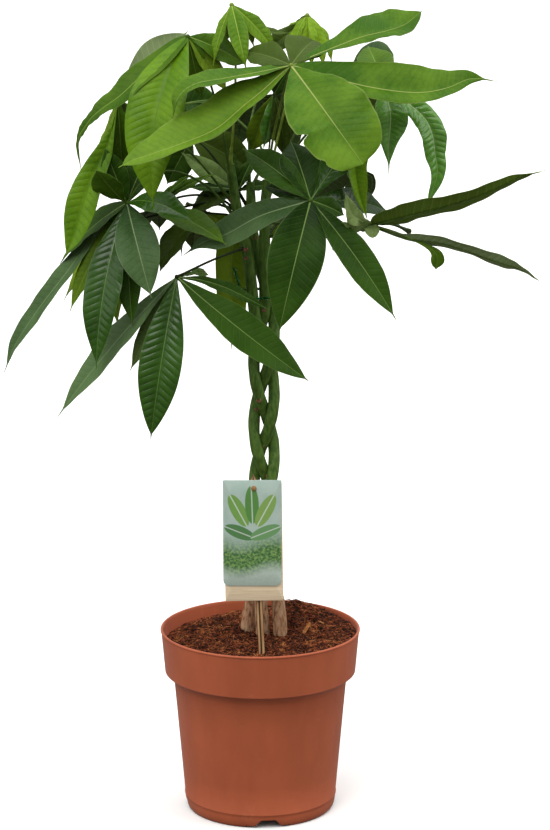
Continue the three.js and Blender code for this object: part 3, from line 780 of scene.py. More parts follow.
@dataclass
class BladeMaker:
    """Rules that all leaflets share.

    Attributes:
        row_gap: Distance between rows of vertices, in millimetres.
        columns: Columns of faces across a leaflet.
        thickness: Thickness of the blade at the rib, in millimetres.
        vein_gap: Distance between side veins, in millimetres.
        vein_slant: How far a vein runs towards the tip for each millimetre outwards.
    """

    row_gap: float = 2.0
    columns: int = 14
    thickness: float = 0.5
    vein_gap: float = 6.2
    vein_slant: float = 0.6

    def outline(self, shares: Array, finger: Finger) -> Array:
        """Half widths along a leaflet.

        Args:
            shares: Shares of the length.
            finger: The leaflet.

        Returns:
            Half widths in millimetres, from the narrow base to a drawn-out tip.
        """
        half = 0.5 * finger.width
        body = np.clip(shares / (1 - 0.6 * finger.drip), 0, 1)
        skew = math.log(0.5) / math.log(finger.widest)
        share = np.clip(np.sin(math.pi * body ** skew), 0, 1)
        share = share ** np.where(body > finger.widest, 0.85 - finger.blunt, 0.85)
        share = share * np.interp(shares, [finger.tail - 0.24, finger.tail], [1.0, 0.58])
        thin = np.interp(shares, [0, 0.05, 1 - 2.2 * finger.drip, 1 - 0.5 * finger.drip, 1],
                         [0.8, 0.9, 1.6, 0.6, 0.2])
        return (np.maximum(half * share, 0) ** 3 + thin ** 3) ** (1 / 3)

    def path(self, hub: Array, finger: Finger, up: Array, side: Array) -> Path:
        """The leaflet's middle line."""
        tip = np.array(finger.tip, float)
        if finger.via:
            return through([tuple(hub), *finger.via, finger.tip], centripetal=False)
        middle = 0.5 * (hub + tip) + 2 * finger.rise * up + 2 * finger.sway * side
        return bowed(hub, middle, tip)

    def add(self, shell: Shell, leaf: "PalmateLeaf", finger: Finger, slots: tuple[int, int, int],
            seed: int) -> None:
        """Adds one leaflet with its rib to a shell.

        Args:
            shell: The leaf's shell.
            leaf: The leaf that it grows on.
            finger: The leaflet.
            slots: Slots of the upper side, the underside and the stalk.
            seed: Number that sets its own waves.
        """
        draw = random.Random(seed)
        hub = np.array(leaf.hub, float)
        tip = np.array(finger.tip, float)
        along = unit(tip - hub)
        up = np.array(finger.facing or leaf.facing, float)
        up = unit(up - along * float(up @ along))
        side = np.cross(along, up)
        path = self.path(hub, finger, up, side)
        steps = int(min(90, max(26, path.length / (self.row_gap * (0.62 if finger.quilt > 0.5 else 1)))))
        t = np.linspace(0, 1, steps + 1) ** 0.97
        centre = path.read(t)
        tangent = path.tangents(t)
        level = unit(side - tangent * (tangent @ side)[:, None])
        lift = np.cross(level, tangent)
        turn = math.radians(finger.roll)
        across = level * math.cos(turn) + lift * math.sin(turn)
        normal = np.cross(across, tangent)

        half = self.outline(t, finger)
        p = np.linspace(-1, 1, self.columns + 1)
        p = np.sign(p) * np.abs(p) ** 0.9
        reach = np.abs(p)
        left, right = half.copy(), half.copy()
        for share, hand, depth in finger.torn:
            margin = left if hand < 0 else right
            margin -= np.minimum(depth * np.exp(-((t - share) / 0.018) ** 2), 0.7 * margin)
        rib = finger.skew * half * np.sin(math.pi * np.clip(1.1 * t, 0, 1)) ** 0.5
        widths = np.where(p[None, :] < 0, left[:, None], right[:, None]) * p[None, :]
        widths = widths + rib[:, None] * (1 - reach[None, :])
        outwards = widths - rib[:, None]

        gap = self.vein_gap * (0.8 if finger.width < 20 else 1.0)
        phase = (t[:, None] * path.length - self.vein_slant * np.abs(outwards)) / gap
        calm = np.minimum(1, 6 * t * (1 - t))[:, None] * ((1 - reach ** 5) * np.minimum(1, 4 * reach))[None, :]
        starts = [draw.uniform(0, TURN) for _ in range(3)]
        left_wave, right_wave, fine = (np.sin(TURN * finger.waves * rate * t + start)[:, None]
                                       for rate, start in zip((1.0, 0.9, 2.7), starts))
        ripple = np.where(p[None, :] < 0, left_wave, right_wave) + 0.3 * fine
        envelope = (np.sin(math.pi * np.clip(t, 0, 1)) ** 0.6)[:, None]
        height = half[:, None] * (finger.fold * reach[None, :] ** 1.1 - finger.droop * reach[None, :] ** 2.4)
        height = height + finger.wave * ripple * reach[None, :] ** 2 * envelope
        height = height + finger.quilt * np.abs(np.sin(math.pi * phase)) ** 0.7 * calm
        sheet = centre[:, None, :] + widths[..., None] * across[:, None, :] + height[..., None] * normal[:, None, :]
        thick = 0.5 * self.thickness * (1 - 0.55 * reach ** 2)[None, :, None] * normal[:, None, :]
        top, bottom = sheet + thick, sheet - thick

        rows, cols = steps + 1, self.columns + 1
        faces, kinds = self._faces(rows, cols)
        size = 0.55 + finger.width / 70
        rib_half = size * np.interp(t, [0, 0.1, 0.6, 1], [0.6, 0.34, 0.18, 0.0])
        shade = finger.tint + finger.fade * (t - 0.45)
        marks = {
            "vein": phase, "relief": 0.7 * finger.quilt * calm, "across_mm": outwards,
            "rib_mm": np.repeat(rib_half[:, None], cols, axis=1), "tint": np.repeat(shade[:, None], cols, axis=1),
            "edge": np.repeat(reach[None, :], rows, axis=0),
        }
        points = np.concatenate([top.reshape(-1, 3), bottom.reshape(-1, 3)])
        shell.add(points, faces, [slots[kind] for kind in kinds],
                  **{name: np.tile(values.reshape(-1), 2) for name, values in marks.items()})
        self._rib(shell, centre + rib[:, None] * across, normal, t, finger, slots[2])

    @staticmethod
    def _faces(rows: int, cols: int) -> tuple[list[tuple[int, ...]], list[int]]:
        """Faces of the closed thin blade: 0 marks the upper side and the edge, 1 the underside."""
        size = rows * cols
        faces, kinds = [], []
        for i in range(rows - 1):
            for k in range(cols - 1):
                a = i * cols + k
                faces.append((a, a + 1, a + cols + 1, a + cols))
                kinds.append(0)
                faces.append((size + a, size + a + cols, size + a + cols + 1, size + a + 1))
                kinds.append(1)
            for a, b in ((i * cols, (i + 1) * cols), ((i + 2) * cols - 1, (i + 1) * cols - 1)):
                faces.append((a, b, size + b, size + a))
                kinds.append(0)
        for k in range(cols - 1):
            last = (rows - 1) * cols + k
            faces.append((k + 1, k, size + k, size + k + 1))
            faces.append((last, last + 1, size + last + 1, size + last))
            kinds.extend((0, 0))
        return faces, kinds

    @staticmethod
    def _rib(shell: Shell, centre: Array, normal: Array, t: Array, finger: Finger, slot: int) -> None:
        """Adds the raised rib below the blade, with its thick joint at the hub."""
        keep = slice(0, int(0.97 * len(t)), 2)
        size = min(1.0, 0.55 + finger.width / 60)
        radii = size * np.interp(t[keep], [0, 0.05, 0.12, 1], [1.3, 1.1, 0.75, 0.2])
        places = centre[keep] - normal[keep] * (0.2 + 0.75 * radii)[:, None]
        tube(shell, places, radii, 6, slot)


@dataclass
class PalmateLeaf:
    """A palmate leaf: a stalk that carries its leaflets on one hub.

    Attributes:
        node: The solid that it replaces, or the name of a small sprout in between that replaces none.
        hub: Where the leaflets meet.
        facing: Direction of its upper side.
        stalk: Points of the stalk, from the stem outwards.
        tone: Tone of its leaflets.
        stalk_tone: Tone of its stalk.
        fingers: Its leaflets.
        stalk_radius: Radius of the stalk.
        hub_radius: Radius of the knob at the hub.
    """

    node: str
    hub: Point
    facing: Point
    stalk: tuple[Point, ...]
    tone: LeafTone
    stalk_tone: StalkTone
    fingers: tuple[Finger, ...]
    stalk_radius: float = 1.05
    hub_radius: float = 2.0

    def build(self, maker: BladeMaker, number: int) -> Thing:
        """Makes the leaf as one mesh.

        Args:
            maker: The rules for leaflets.
            number: The leaf's number, which seeds its waves.

        Returns:
            The finished leaf.
        """
        shell = Shell()
        tones = list(dict.fromkeys(finger.tone or self.tone for finger in self.fingers))
        stalk_slot = 2 * len(tones)
        for count, finger in enumerate(self.fingers):
            slot = 2 * tones.index(finger.tone or self.tone)
            maker.add(shell, self, finger, (slot, slot + 1, stalk_slot), 100 * number + count)
        self._add_stalk(shell, stalk_slot)
        materials = [side for tone in tones for side in tone.value.sides()] + [self.stalk_tone.value.material()]
        piece = shell.build("foliage_" + self.node.removeprefix("leaf_"), materials, 60)
        return hand_over(piece, "leaf_green", *([self.node] if self.node.startswith("leaf_") else []))

    def _add_stalk(self, shell: Shell, slot: int) -> None:
        """Adds the stalk, thicker at both joints, and the knob where the leaflets meet."""
        path = through([*self.stalk, self.hub])
        share = np.linspace(0, 1, 40)
        swell = np.interp(share, [0, 0.06, 0.14, 0.9, 0.97, 1], [1.9, 1.6, 1.05, 0.95, 1.3, 1.5])
        tube(shell, path.spots(share), self.stalk_radius * swell, 10, slot)
        turn, rise = np.meshgrid(angles_round(14), np.linspace(-1.45, 1.45, 9))
        ball = np.stack([np.cos(rise) * np.cos(turn), np.cos(rise) * np.sin(turn), np.sin(rise)], axis=-1)
        wrinkle = 1 + 0.08 * np.sin(5 * turn)[..., None] * np.cos(rise)[..., None]
        points = np.array(self.hub) + self.hub_radius * ball * wrinkle
        shell.add(points.reshape(-1, 3), ring_faces(9, 14), slot)


YOUNG, LIME, FRESH, MID, DEEP, GLOSSY, DUSTY, OLIVE, PALE, BACKLIT, WAXY = LeafTone

LEAVES = (
    PalmateLeaf("leaf_front_top", (26, -75, 661), (0, -0.75, 0.66), ((6, 0, 553), (11, -18, 592), (19, -52, 632)),
                FRESH, StalkTone.PALE, (
        Finger((134, -40, 702), 47, roll=26, widest=0.64, blunt=0.1, skew=0.15, drip=0.03, wave=1.2, tint=-0.42,
               via=((54, -64, 672), (83, -54, 683), (103, -48, 687.5), (120, -44, 692.5))),
        Finger((194, -75, 648), 40, roll=4, widest=0.44, skew=0.3, drip=0.14, wave=1.2, waves=2.5,
               via=((66, -77, 652), (98, -80, 647), (129, -80, 644), (152, -79, 646), (172, -77, 651)), tint=-0.3),
        Finger((83, -143, 590), 68, rise=12, sway=4, widest=0.6, blunt=0.6, drip=0.02, wave=1.2, waves=4,
               tint=-0.28, fade=0.6, torn=((0.66, 1, 8.0), (0.86, 1, 2.5))),
        Finger((-113, -120, 584), 37, roll=-10, widest=0.5, blunt=0.32, skew=-0.5, drip=0.05, wave=1.2,
               via=((2, -84, 645), (-19, -92, 633), (-40, -101, 618), (-64, -108, 607), (-88, -114, 596)),
               tint=0.05),
        Finger((-70, -102, 621), 28, roll=-30, widest=0.5, drip=0.06, wave=1.0, tint=-0.3, via=((-1, -80, 656),
               (-28, -88, 652), (-52, -95, 648), (-65, -100, 638))),
        Finger((46, -34, 677), 35, rise=4, tone=OLIVE, tint=0.6),
        Finger((-12, -44, 669), 27, rise=3, tone=OLIVE, tint=0.35))),
    PalmateLeaf("leaf_young_left", (-23, -20, 705), (0, 0, 1), ((-25, -2, 566), (-21, -9, 620), (-20, -14, 665)),
                YOUNG, StalkTone.PALE, (
        Finger((-38, -44, 657), 11, rise=3, facing=(-0.6, -0.7, 0.4), drip=0.16, fold=0.35, quilt=0.4, tint=-0.15),
        Finger((-10, -60, 653), 16, rise=8, facing=(0, -1, 0.3), drip=0.16, fold=0.35, quilt=0.4, tint=-0.2),
        Finger((15, -13, 661), 19, rise=4, facing=(0.5, -0.7, 0.5), drip=0.16, fold=0.3, quilt=0.4, tint=-0.15),
        Finger((-4, 22, 664), 14, rise=3, drip=0.16, tint=-0.3),
        Finger((-30, 16, 664), 10, rise=2, drip=0.16, tint=-0.3),
        Finger((26, 8, 679), 13, rise=-9, facing=(0, -0.5, 0.9), tone=OLIVE, tint=0.3))),
    PalmateLeaf("leaf_upper_left", (-59, -40, 681), (-0.1, -0.5, 0.85),
                ((-23, -4, 545), (-31, -14, 600), (-42, -28, 645), (-51, -36, 670)), MID, StalkTone.GREEN, (
        Finger((-147, -60, 573), 27, widest=0.28, tail=0.52, facing=(-0.4, -0.6, 0.7), wave=0.9, waves=5,
               via=((-80, -50, 663), (-99, -56, 648), (-114, -60, 634.5), (-128, -60, 624.5), (-137, -60, 617),
               (-143, -60, 609), (-148, -60, 601), (-149, -60, 590)), tint=-0.1),
        Finger((-86, -92, 544), 50, rise=16, sway=8, widest=0.5, tone=LIME, quilt=0.4, drip=0.1, tint=-0.12),
        Finger((-12, -16, 655), 26, rise=3, facing=(0, -0.75, 0.65), tint=-0.1),
        Finger((-27, -28, 634), 17, rise=4, facing=(0, -0.8, 0.6), tone=BACKLIT, tint=0.15),
        Finger((-48, -30, 628), 20, rise=3, facing=(0, -0.9, 0.4), widest=0.4, tint=-0.1))),
    PalmateLeaf("leaf_far_left", (-118, -20, 626), (-0.45, -0.4, 0.8),
                ((-22, 2, 535), (-54, 4, 574), (-90, -6, 608)), BACKLIT, StalkTone.GREEN, (
        Finger((-163, -50, 497), 27, widest=0.66, facing=(-0.25, -0.9, 0.3), tone=LIME, quilt=0.4, fold=0.5,
               tint=-0.2, via=((-123, -26, 602), (-129, -30, 584), (-140, -36, 561), (-147, -41, 541),
               (-154, -46, 517))),
        Finger((-138, -26, 560), 12, tint=0.2),
        Finger((-60, 16, 680), 36, rise=1, facing=(0, 1, 0.1), widest=0.6, tone=PALE, tint=0.3),
        Finger((-141, 26, 524), 18, tone=OLIVE, tint=0.3), Finger((-104, 60, 574), 22, rise=2, tone=OLIVE),
        Finger((-115, -4, 556), 24, rise=3, facing=(0, -1, 0.2), tone=MID, tint=-0.1))),
    PalmateLeaf("leaf_mid_left", (-111, -30, 541), (-0.2, -0.5, 0.84),
                ((-19, -2, 522), (-46, -8, 553), (-76, -17, 566), (-98, -25, 558)), DEEP, StalkTone.GREEN, (
        Finger((-134, -60, 573), 26, rise=2, facing=(-0.3, -0.9, -0.2), widest=0.66, tone=MID, drip=0.02,
               tint=-0.2),
        Finger((-54, -80, 533), 26, rise=10, tone=GLOSSY, tint=0.3),
        Finger((-220, 8, 388), 25, widest=0.58, tone=DUSTY, drip=0.08, tint=0.1, via=((-136, -20, 516),
               (-163, -8, 479), (-189, 0, 444.5), (-209.5, 5, 413))),
        Finger((-136, -70, 408), 34, rise=12, tone=GLOSSY, quilt=0.5, tint=0.1),
        Finger((-89, -82, 470), 36, rise=10, tone=DUSTY, tint=-0.15, fade=0.7),
        Finger((-106, -60, 442), 25, rise=4, tone=DEEP, tint=0.2),
        Finger((-119, -40, 442), 14, rise=4, tone=BACKLIT),
        Finger((-161, -18, 446), 24, rise=4, tone=BACKLIT, tint=-0.2),
        Finger((-170, 0, 484), 26, rise=5, widest=0.4, tone=DEEP, tint=0.3),
        Finger((-93, -8, 582), 22, rise=3, facing=(0, -0.9, 0.3), tint=-0.1),
        Finger((-129, -32, 588), 22, rise=2, facing=(0, -1, 0.1), tint=0.1))),
    PalmateLeaf("leaf_low_left", (-69, -50, 482), (0, -0.7, 0.7), ((-12, -3, 499), (-40, -27, 492)),
                DEEP, StalkTone.DARK, (
        Finger((-172, -36, 358), 30, rise=7, roll=-20, tone=DUSTY, tint=0.9, drip=0.1),
        Finger((-91, -75, 349), 36, rise=10, tone=GLOSSY, quilt=0.8, tint=0.3, drip=0.05),
        Finger((-109, -46, 401), 17, rise=2, tone=PALE, tint=-0.3),
        Finger((41, -68, 397), 34, rise=4, sway=4, tint=0.35, drip=0.04),
        Finger((8, -46, 453), 12, widest=0.6, via=((-50, -48, 479), (-31, -46, 473), (-12, -46, 464)), tint=0.1),
        Finger((-45, -24, 481), 11, rise=1, widest=0.8, blunt=0.5, drip=0.01, tone=PALE, tint=-0.2))),
    PalmateLeaf("leaf_front_centre", (42, -80, 551), (0.05, -0.8, 0.6),
                ((5, -2, 520), (18, -30, 524), (32, -60, 536)), DEEP, StalkTone.GREEN, (
        Finger((-14, -40, 588), 28, rise=6, tint=0.25), Finger((26, -38, 594), 34, rise=4, tint=-0.2),
        Finger((80, -36, 597), 28, rise=4, widest=0.66, tone=GLOSSY, tint=0.1),
        Finger((108, -24, 532), 24, rise=8, tone=GLOSSY, tint=-0.1),
        Finger((112, -110, 457), 28, rise=8, sway=-0.4, tint=0.15, drip=0.08, fade=0.6),
        Finger((16, -105, 445), 46, rise=10, widest=0.44, tint=-0.12, fade=0.7),
        Finger((-64, -44, 499), 28, widest=0.42, tail=0.86, tone=DUSTY, drip=0.12, tint=0.1, via=((2, -70, 537),
               (-26, -58, 520), (-47, -50, 511))),
        Finger((70, -76, 538), 17, rise=2, tint=0.3), Finger((4, -50, 558), 15, rise=2, tint=-0.1))),
    PalmateLeaf("leaf_low_right", (92, -80, 531), (0.2, -0.2, 0.95), ((7, 1, 508), (38, -22, 512), (70, -58, 518)),
                PALE, StalkTone.GREEN, (
        Finger((228, -148, 586), 30, facing=(0, 0.6, 0.8), widest=0.34, drip=0.12, quilt=0.5, wave=1.2,
               via=((107, -88, 536), (124, -96, 541.5), (154, -112, 552), (185, -130, 566), (208, -140, 579)),
               tone=BACKLIT),
        Finger((228, -112, 490), 17, facing=(0, 0.65, 0.76), drip=0.06, quilt=0.4, wave=1.0, tint=0.3,
               via=((118, -84, 521), (152, -92, 517), (190, -102, 505.5), (212, -107, 499))),
        Finger((145, -88, 495), 12, facing=(-0.3, -0.9, 0.4), widest=0.87, tone=MID, drip=0.03,
               via=((115, -84, 524), (134, -87, 516), (145, -88, 508)), tint=0.1),
        Finger((70, -100, 561), 15, facing=(0.3, -0.9, 0.3), widest=0.6, tint=0.3, wave=1.4, via=((82, -92, 537),
               (75, -95, 543))),
        Finger((126, -34, 514), 24, rise=5, tone=DEEP),
        Finger((67, -98, 536), 13, rise=2, facing=(0, -0.9, -0.4), widest=0.4, tint=0.1, wave=1.6),
        Finger((93, -92, 522), 12, rise=2, facing=(0, -1, 0.2), blunt=0.4, drip=0.02, tint=0.15))),
    PalmateLeaf("leaf_upper_right", (104, -30, 636), (0.4, -0.3, 0.85),
                ((8, 3, 548), (40, -4, 596), (76, -18, 628)), MID, StalkTone.GREEN, (
        Finger((140, -48, 544), 23, facing=(0.3, -0.9, 0.35), widest=0.42, blunt=0.25, tone=WAXY, quilt=0.6,
               wave=1.2, drip=0.02, tint=0.15, via=((123, -36, 625), (137, -42, 613), (143, -46, 600),
               (145, -48, 586), (147, -48, 568))),
        Finger((107, -54, 568), 29, facing=(0, -0.95, 0.3), widest=0.4, quilt=0.4, drip=0.14, via=((108, -44, 619),
               (108, -47, 607), (107, -50, 594)), tone=WAXY),
        Finger((92, 46, 664), 30, rise=3, facing=(0, -0.8, 0.6)),
        Finger((89, -66, 533), 17, facing=(0.3, -0.9, 0.2), fold=0.7, tone=LIME, tint=0.1, via=((92, -46, 611),
               (80, -58, 581), (82, -64, 557))),
        Finger((140, 44, 628), 26, rise=6))),
    PalmateLeaf("leaf_young_right", (40, 15, 693), (0, -0.5, 0.85), ((6, 3, 552), (20, 10, 610), (33, 14, 660)),
                YOUNG, StalkTone.PALE, (
        Finger((44, 0, 650), 14, rise=5, facing=(0, -0.9, 0.3), drip=0.16, fold=0.4, tint=0.6),
        Finger((54, 0, 650), 14, rise=5, facing=(0.4, -0.9, 0.3), drip=0.16, fold=0.4, tint=0.6),
        Finger((61, 18, 650), 12, rise=5, facing=(0.8, -0.5, 0.4), drip=0.16, fold=0.4, tint=0.6),
        Finger((30, 4, 656), 14, rise=5, facing=(-0.7, -0.6, 0.4), drip=0.16, fold=0.4, tint=0.25),
        Finger((12, 22, 674), 13, rise=-4, drip=0.12, tint=0.2),
        Finger((6, 10, 664), 17, rise=-5, widest=0.7, facing=(0, -0.9, 0.4), tone=OLIVE, tint=0.6),
        Finger((36, 56, 656), 16, rise=8, facing=(0, 0.4, 0.9), drip=0.16))),
    PalmateLeaf("leaf_inner_top", (-58, 36, 588), (0, -0.5, 0.85), ((-10, 17, 530), (-26, 27, 552), (-44, 33, 576)),
                OLIVE, StalkTone.DARK, (
        Finger((-6, 42, 558), 36, rise=2, facing=(0, -0.9, 0.4), widest=0.5, blunt=0.2, tint=0.8),
        Finger((-66, 84, 592), 26, rise=6),
        Finger((-80, 40, 546), 26, rise=1, facing=(0, -1, 0.2), tone=DEEP, tint=0.4),
        Finger((-100, 50, 588), 26, rise=6), Finger((-28, 60, 566), 30, rise=3, facing=(0, -0.8, 0.5), tint=-0.2))),
    PalmateLeaf("leaf_inner_left", (-91, 5, 530), (0, -0.5, 0.86), ((-10, 12, 520), (-36, 18, 538), (-66, 12, 540)),
                DEEP, StalkTone.DARK, (
        Finger((-56, -4, 562), 9, rise=2, tone=MID, tint=-0.2), Finger((-38, 0, 561), 11, rise=4, tone=MID),
        Finger((-27, -72, 513), 27, rise=6, tone=MID, tint=-0.1), Finger((-106, 66, 486), 26, rise=8),
        Finger((-88, 76, 500), 28, rise=10))),
    PalmateLeaf("leaf_inner_low", (-47, 32, 523), (0, -0.2, 1), ((-8, 14, 505), (-20, 22, 520)),
                OLIVE, StalkTone.DARK, (
        Finger((-86, 20, 473), 34, rise=6, tint=0.6), Finger((-68, 42, 483), 14, rise=6),
        Finger((-25, 46, 400), 31, facing=(0.1, -0.8, 0.6), tone=BACKLIT, blunt=0.6, tint=0.4, via=((-25, 40, 506),
               (-25, 44, 470))),
        Finger((-64, 12, 533), 12, rise=2), Finger((-60, 84, 480), 28, rise=10))),
    PalmateLeaf("leaf_left_behind", (-119, 26, 514), (-0.3, -0.2, 0.93),
                ((-19, 4, 530), (-46, 14, 534), (-90, 22, 522)), BACKLIT, StalkTone.DARK, (
        Finger((-168, 12, 450), 20, rise=3, tint=0.2), Finger((-122, 6, 430), 24, rise=4, tint=0.1),
        Finger((-152, 78, 456), 30, rise=8), Finger((-122, 112, 456), 32, rise=12))),
    PalmateLeaf("leaf_inner_right", (24, 36, 520), (0, -0.2, 1), ((4, 1, 500), (12, 20, 512)),
                OLIVE, StalkTone.DARK, (
        Finger((18, 26, 492), 22, rise=4, tone=BACKLIT, tint=-0.1),
        Finger((58, 30, 500), 22, rise=6, tone=BACKLIT, tint=-0.1), Finger((64, 84, 480), 32, rise=12),
        Finger((16, 112, 480), 32, rise=12))),
    PalmateLeaf("leaf_back_left", (-72, 110, 606), (-0.2, 0.4, 0.9), ((-7, 16, 545), (2, 48, 574), (-40, 92, 608)),
                MID, StalkTone.GREEN, (
        Finger((-140, 100, 568), 36, rise=10), Finger((-116, 150, 552), 34, rise=14),
        Finger((-66, 156, 548), 34, rise=14), Finger((-36, 138, 572), 26, rise=8),
        Finger((-38, 100, 612), 27, rise=2, facing=(0, -0.9, 0.4), tone=DEEP, blunt=0.3))),
    PalmateLeaf("leaf_back_centre", (-2, 110, 612), (0, 0.4, 0.9), ((-9, 16, 549), (-9, 46, 590), (-4, 90, 610)),
                DEEP, StalkTone.GREEN, (
        Finger((-40, 134, 588), 28, rise=10), Finger((-24, 154, 556), 34, rise=12),
        Finger((32, 150, 556), 34, rise=12), Finger((46, 122, 588), 28, rise=8), Finger((2, 72, 626), 20, rise=4))),
    PalmateLeaf("leaf_back_top", (62, 62, 628), (0.2, 0.2, 0.95), ((6, 2, 536), (24, 26, 580), (48, 50, 618)),
                MID, StalkTone.GREEN, (
        Finger((108, 72, 604), 30, rise=10), Finger((96, 112, 590), 34, rise=12),
        Finger((58, 122, 600), 28, rise=8), Finger((38, 46, 604), 14, rise=5),
        Finger((114, 50, 657), 34, rise=4, facing=(0, -0.8, 0.6), widest=0.74, blunt=0.5, drip=0.02, tone=DUSTY,
               tint=-0.2))),
    PalmateLeaf("leaf_back_right", (80, 96, 552), (0.3, 0.4, 0.86), ((5, 1, 512), (36, 40, 532), (62, 80, 550)),
                DEEP, StalkTone.GREEN, (
        Finger((88, 124, 516), 24, rise=8), Finger((84, 152, 500), 32, rise=14),
        Finger((44, 152, 504), 34, rise=14), Finger((34, 112, 520), 26, rise=8),
        Finger((82, 54, 540), 20, rise=4))),
    PalmateLeaf("sprout_centre", (12, 20, 626), (0, -0.9, 0.4), ((4, 2, 548), (9, 12, 592)),
                OLIVE, StalkTone.DARK, (
        Finger((3, 20, 580), 16, rise=4, facing=(0.3, -1, 0), tone=WAXY, wave=1.6, drip=0.1),
        Finger((20, 18, 573), 17, rise=3, sway=-3, facing=(-0.2, -1, 0.1), fold=0.7, tint=0.3),
        Finger((-9, 48, 572), 20, rise=3, facing=(0, -1, 0.2), tone=BACKLIT, tint=0.45),
        Finger((24, 8, 648), 18, rise=2, facing=(0, -1, 0.2), tone=DEEP,
               tint=0.2)), stalk_radius=0.8, hub_radius=1.4),
    PalmateLeaf("sprout_low", (-18, 14, 545), (0, -0.6, 0.8), ((-8, 13, 520), (-12, 14, 534)),
                OLIVE, StalkTone.DARK, (
        Finger((-60, 20, 546), 12, rise=2, tone=DEEP), Finger((-60, 18, 526), 23, rise=3, tint=0.3),
        Finger((14, 22, 548), 12, rise=2, tone=DEEP),
        Finger((-67, 30, 575), 18, rise=-2, facing=(0, -0.9, 0.4), tone=PALE),
        Finger((-4, 20, 574), 11, rise=2, tone=DEEP),
        Finger((-26, 24, 580), 8, rise=2, tone=DEEP)), stalk_radius=0.8, hub_radius=1.4),
)


# Stems


@dataclass(frozen=True)
class StemFinish:
    """Young green wood over grey-brown bark: smooth skin above, corky with fine cracks near the soil.

    Attributes:
        green: Colour of the green skin.
        green_shade: Its darker streaks.
        bark: Colour of the bark.
        bark_shade: Colour of its cracks.
        bark_pale: Colour of its lichen-grey patches.
        turn_low: Height where the bark starts to turn green, in millimetres.
        turn_high: Height where it is all green.
    """

    green: str = "5c7a34"
    green_shade: str = "38561c"
    bark: str = "a67c5c"
    bark_shade: str = "5a3c2a"
    bark_pale: str = "b49678"
    turn_low: float = 205.0
    turn_high: float = 285.0

    def material(self) -> Material:
        """Streaked along the stem: green streaks about 2 mm wide, bark cracks about 1.5 mm apart."""
        skin = Skin("green_wood_and_bark", gloss=0.12)
        streak = skin.noise(420.0, 4.0, stretch=(1, 1, 0.3))
        patch, fleck = skin.noise(90.0, 3.0), skin.noise(700.0)
        green = skin.ramp(streak, (0.3, self.green_shade), (0.68, self.green))
        cracked = skin.ramp(streak, (0.32, self.bark_shade), (0.5, self.bark), (0.72, self.bark_pale))
        bark = skin.mix(skin.span(patch, 0.5, 0.68, 0.0, 0.55), cracked, self.bark_pale)
        ragged = skin.math("MULTIPLY_ADD", patch, -0.06, skin.parts(skin.where())["Z"])
        share = skin.span(ragged, self.turn_low * MM - 0.03, self.turn_high * MM - 0.03)
        skin.feed("Base Color", skin.mix(share, bark, green))
        skin.feed("Roughness", skin.span(share, 0.0, 1.0, 0.85, 0.48))
        skin.bump(skin.math("ADD", streak, fleck), skin.span(share, 0.0, 1.0, 0.9, 0.25), 0.0008)
        return skin.material


# Corky scar that a fallen leaf leaves: dry, pinkish brown, with grains of about half a millimetre.
SCAR_CORK = GrainFinish("leaf_scar_cork", ((0.38, "5a3424"), (0.6, "9c6a4e")), 600.0, 0.8, relief=(0.5, 0.0004))


@dataclass(frozen=True)
class Stem:
    """One stem of the plait.

    Attributes:
        node: The solid that it replaces.
        strand: Its number in the plait.
        foot: Points from its cut end up to the plait.
        above: Points above the tie.
    """

    node: str
    strand: int
    foot: tuple[Point, ...]
    above: tuple[Point, ...]


@dataclass(frozen=True)
class Scar:
    """A leaf scar: the stem that has it, its height, its direction in degrees from +X, and its width."""

    stem: int
    height: float
    direction: float
    width: float = 4.5


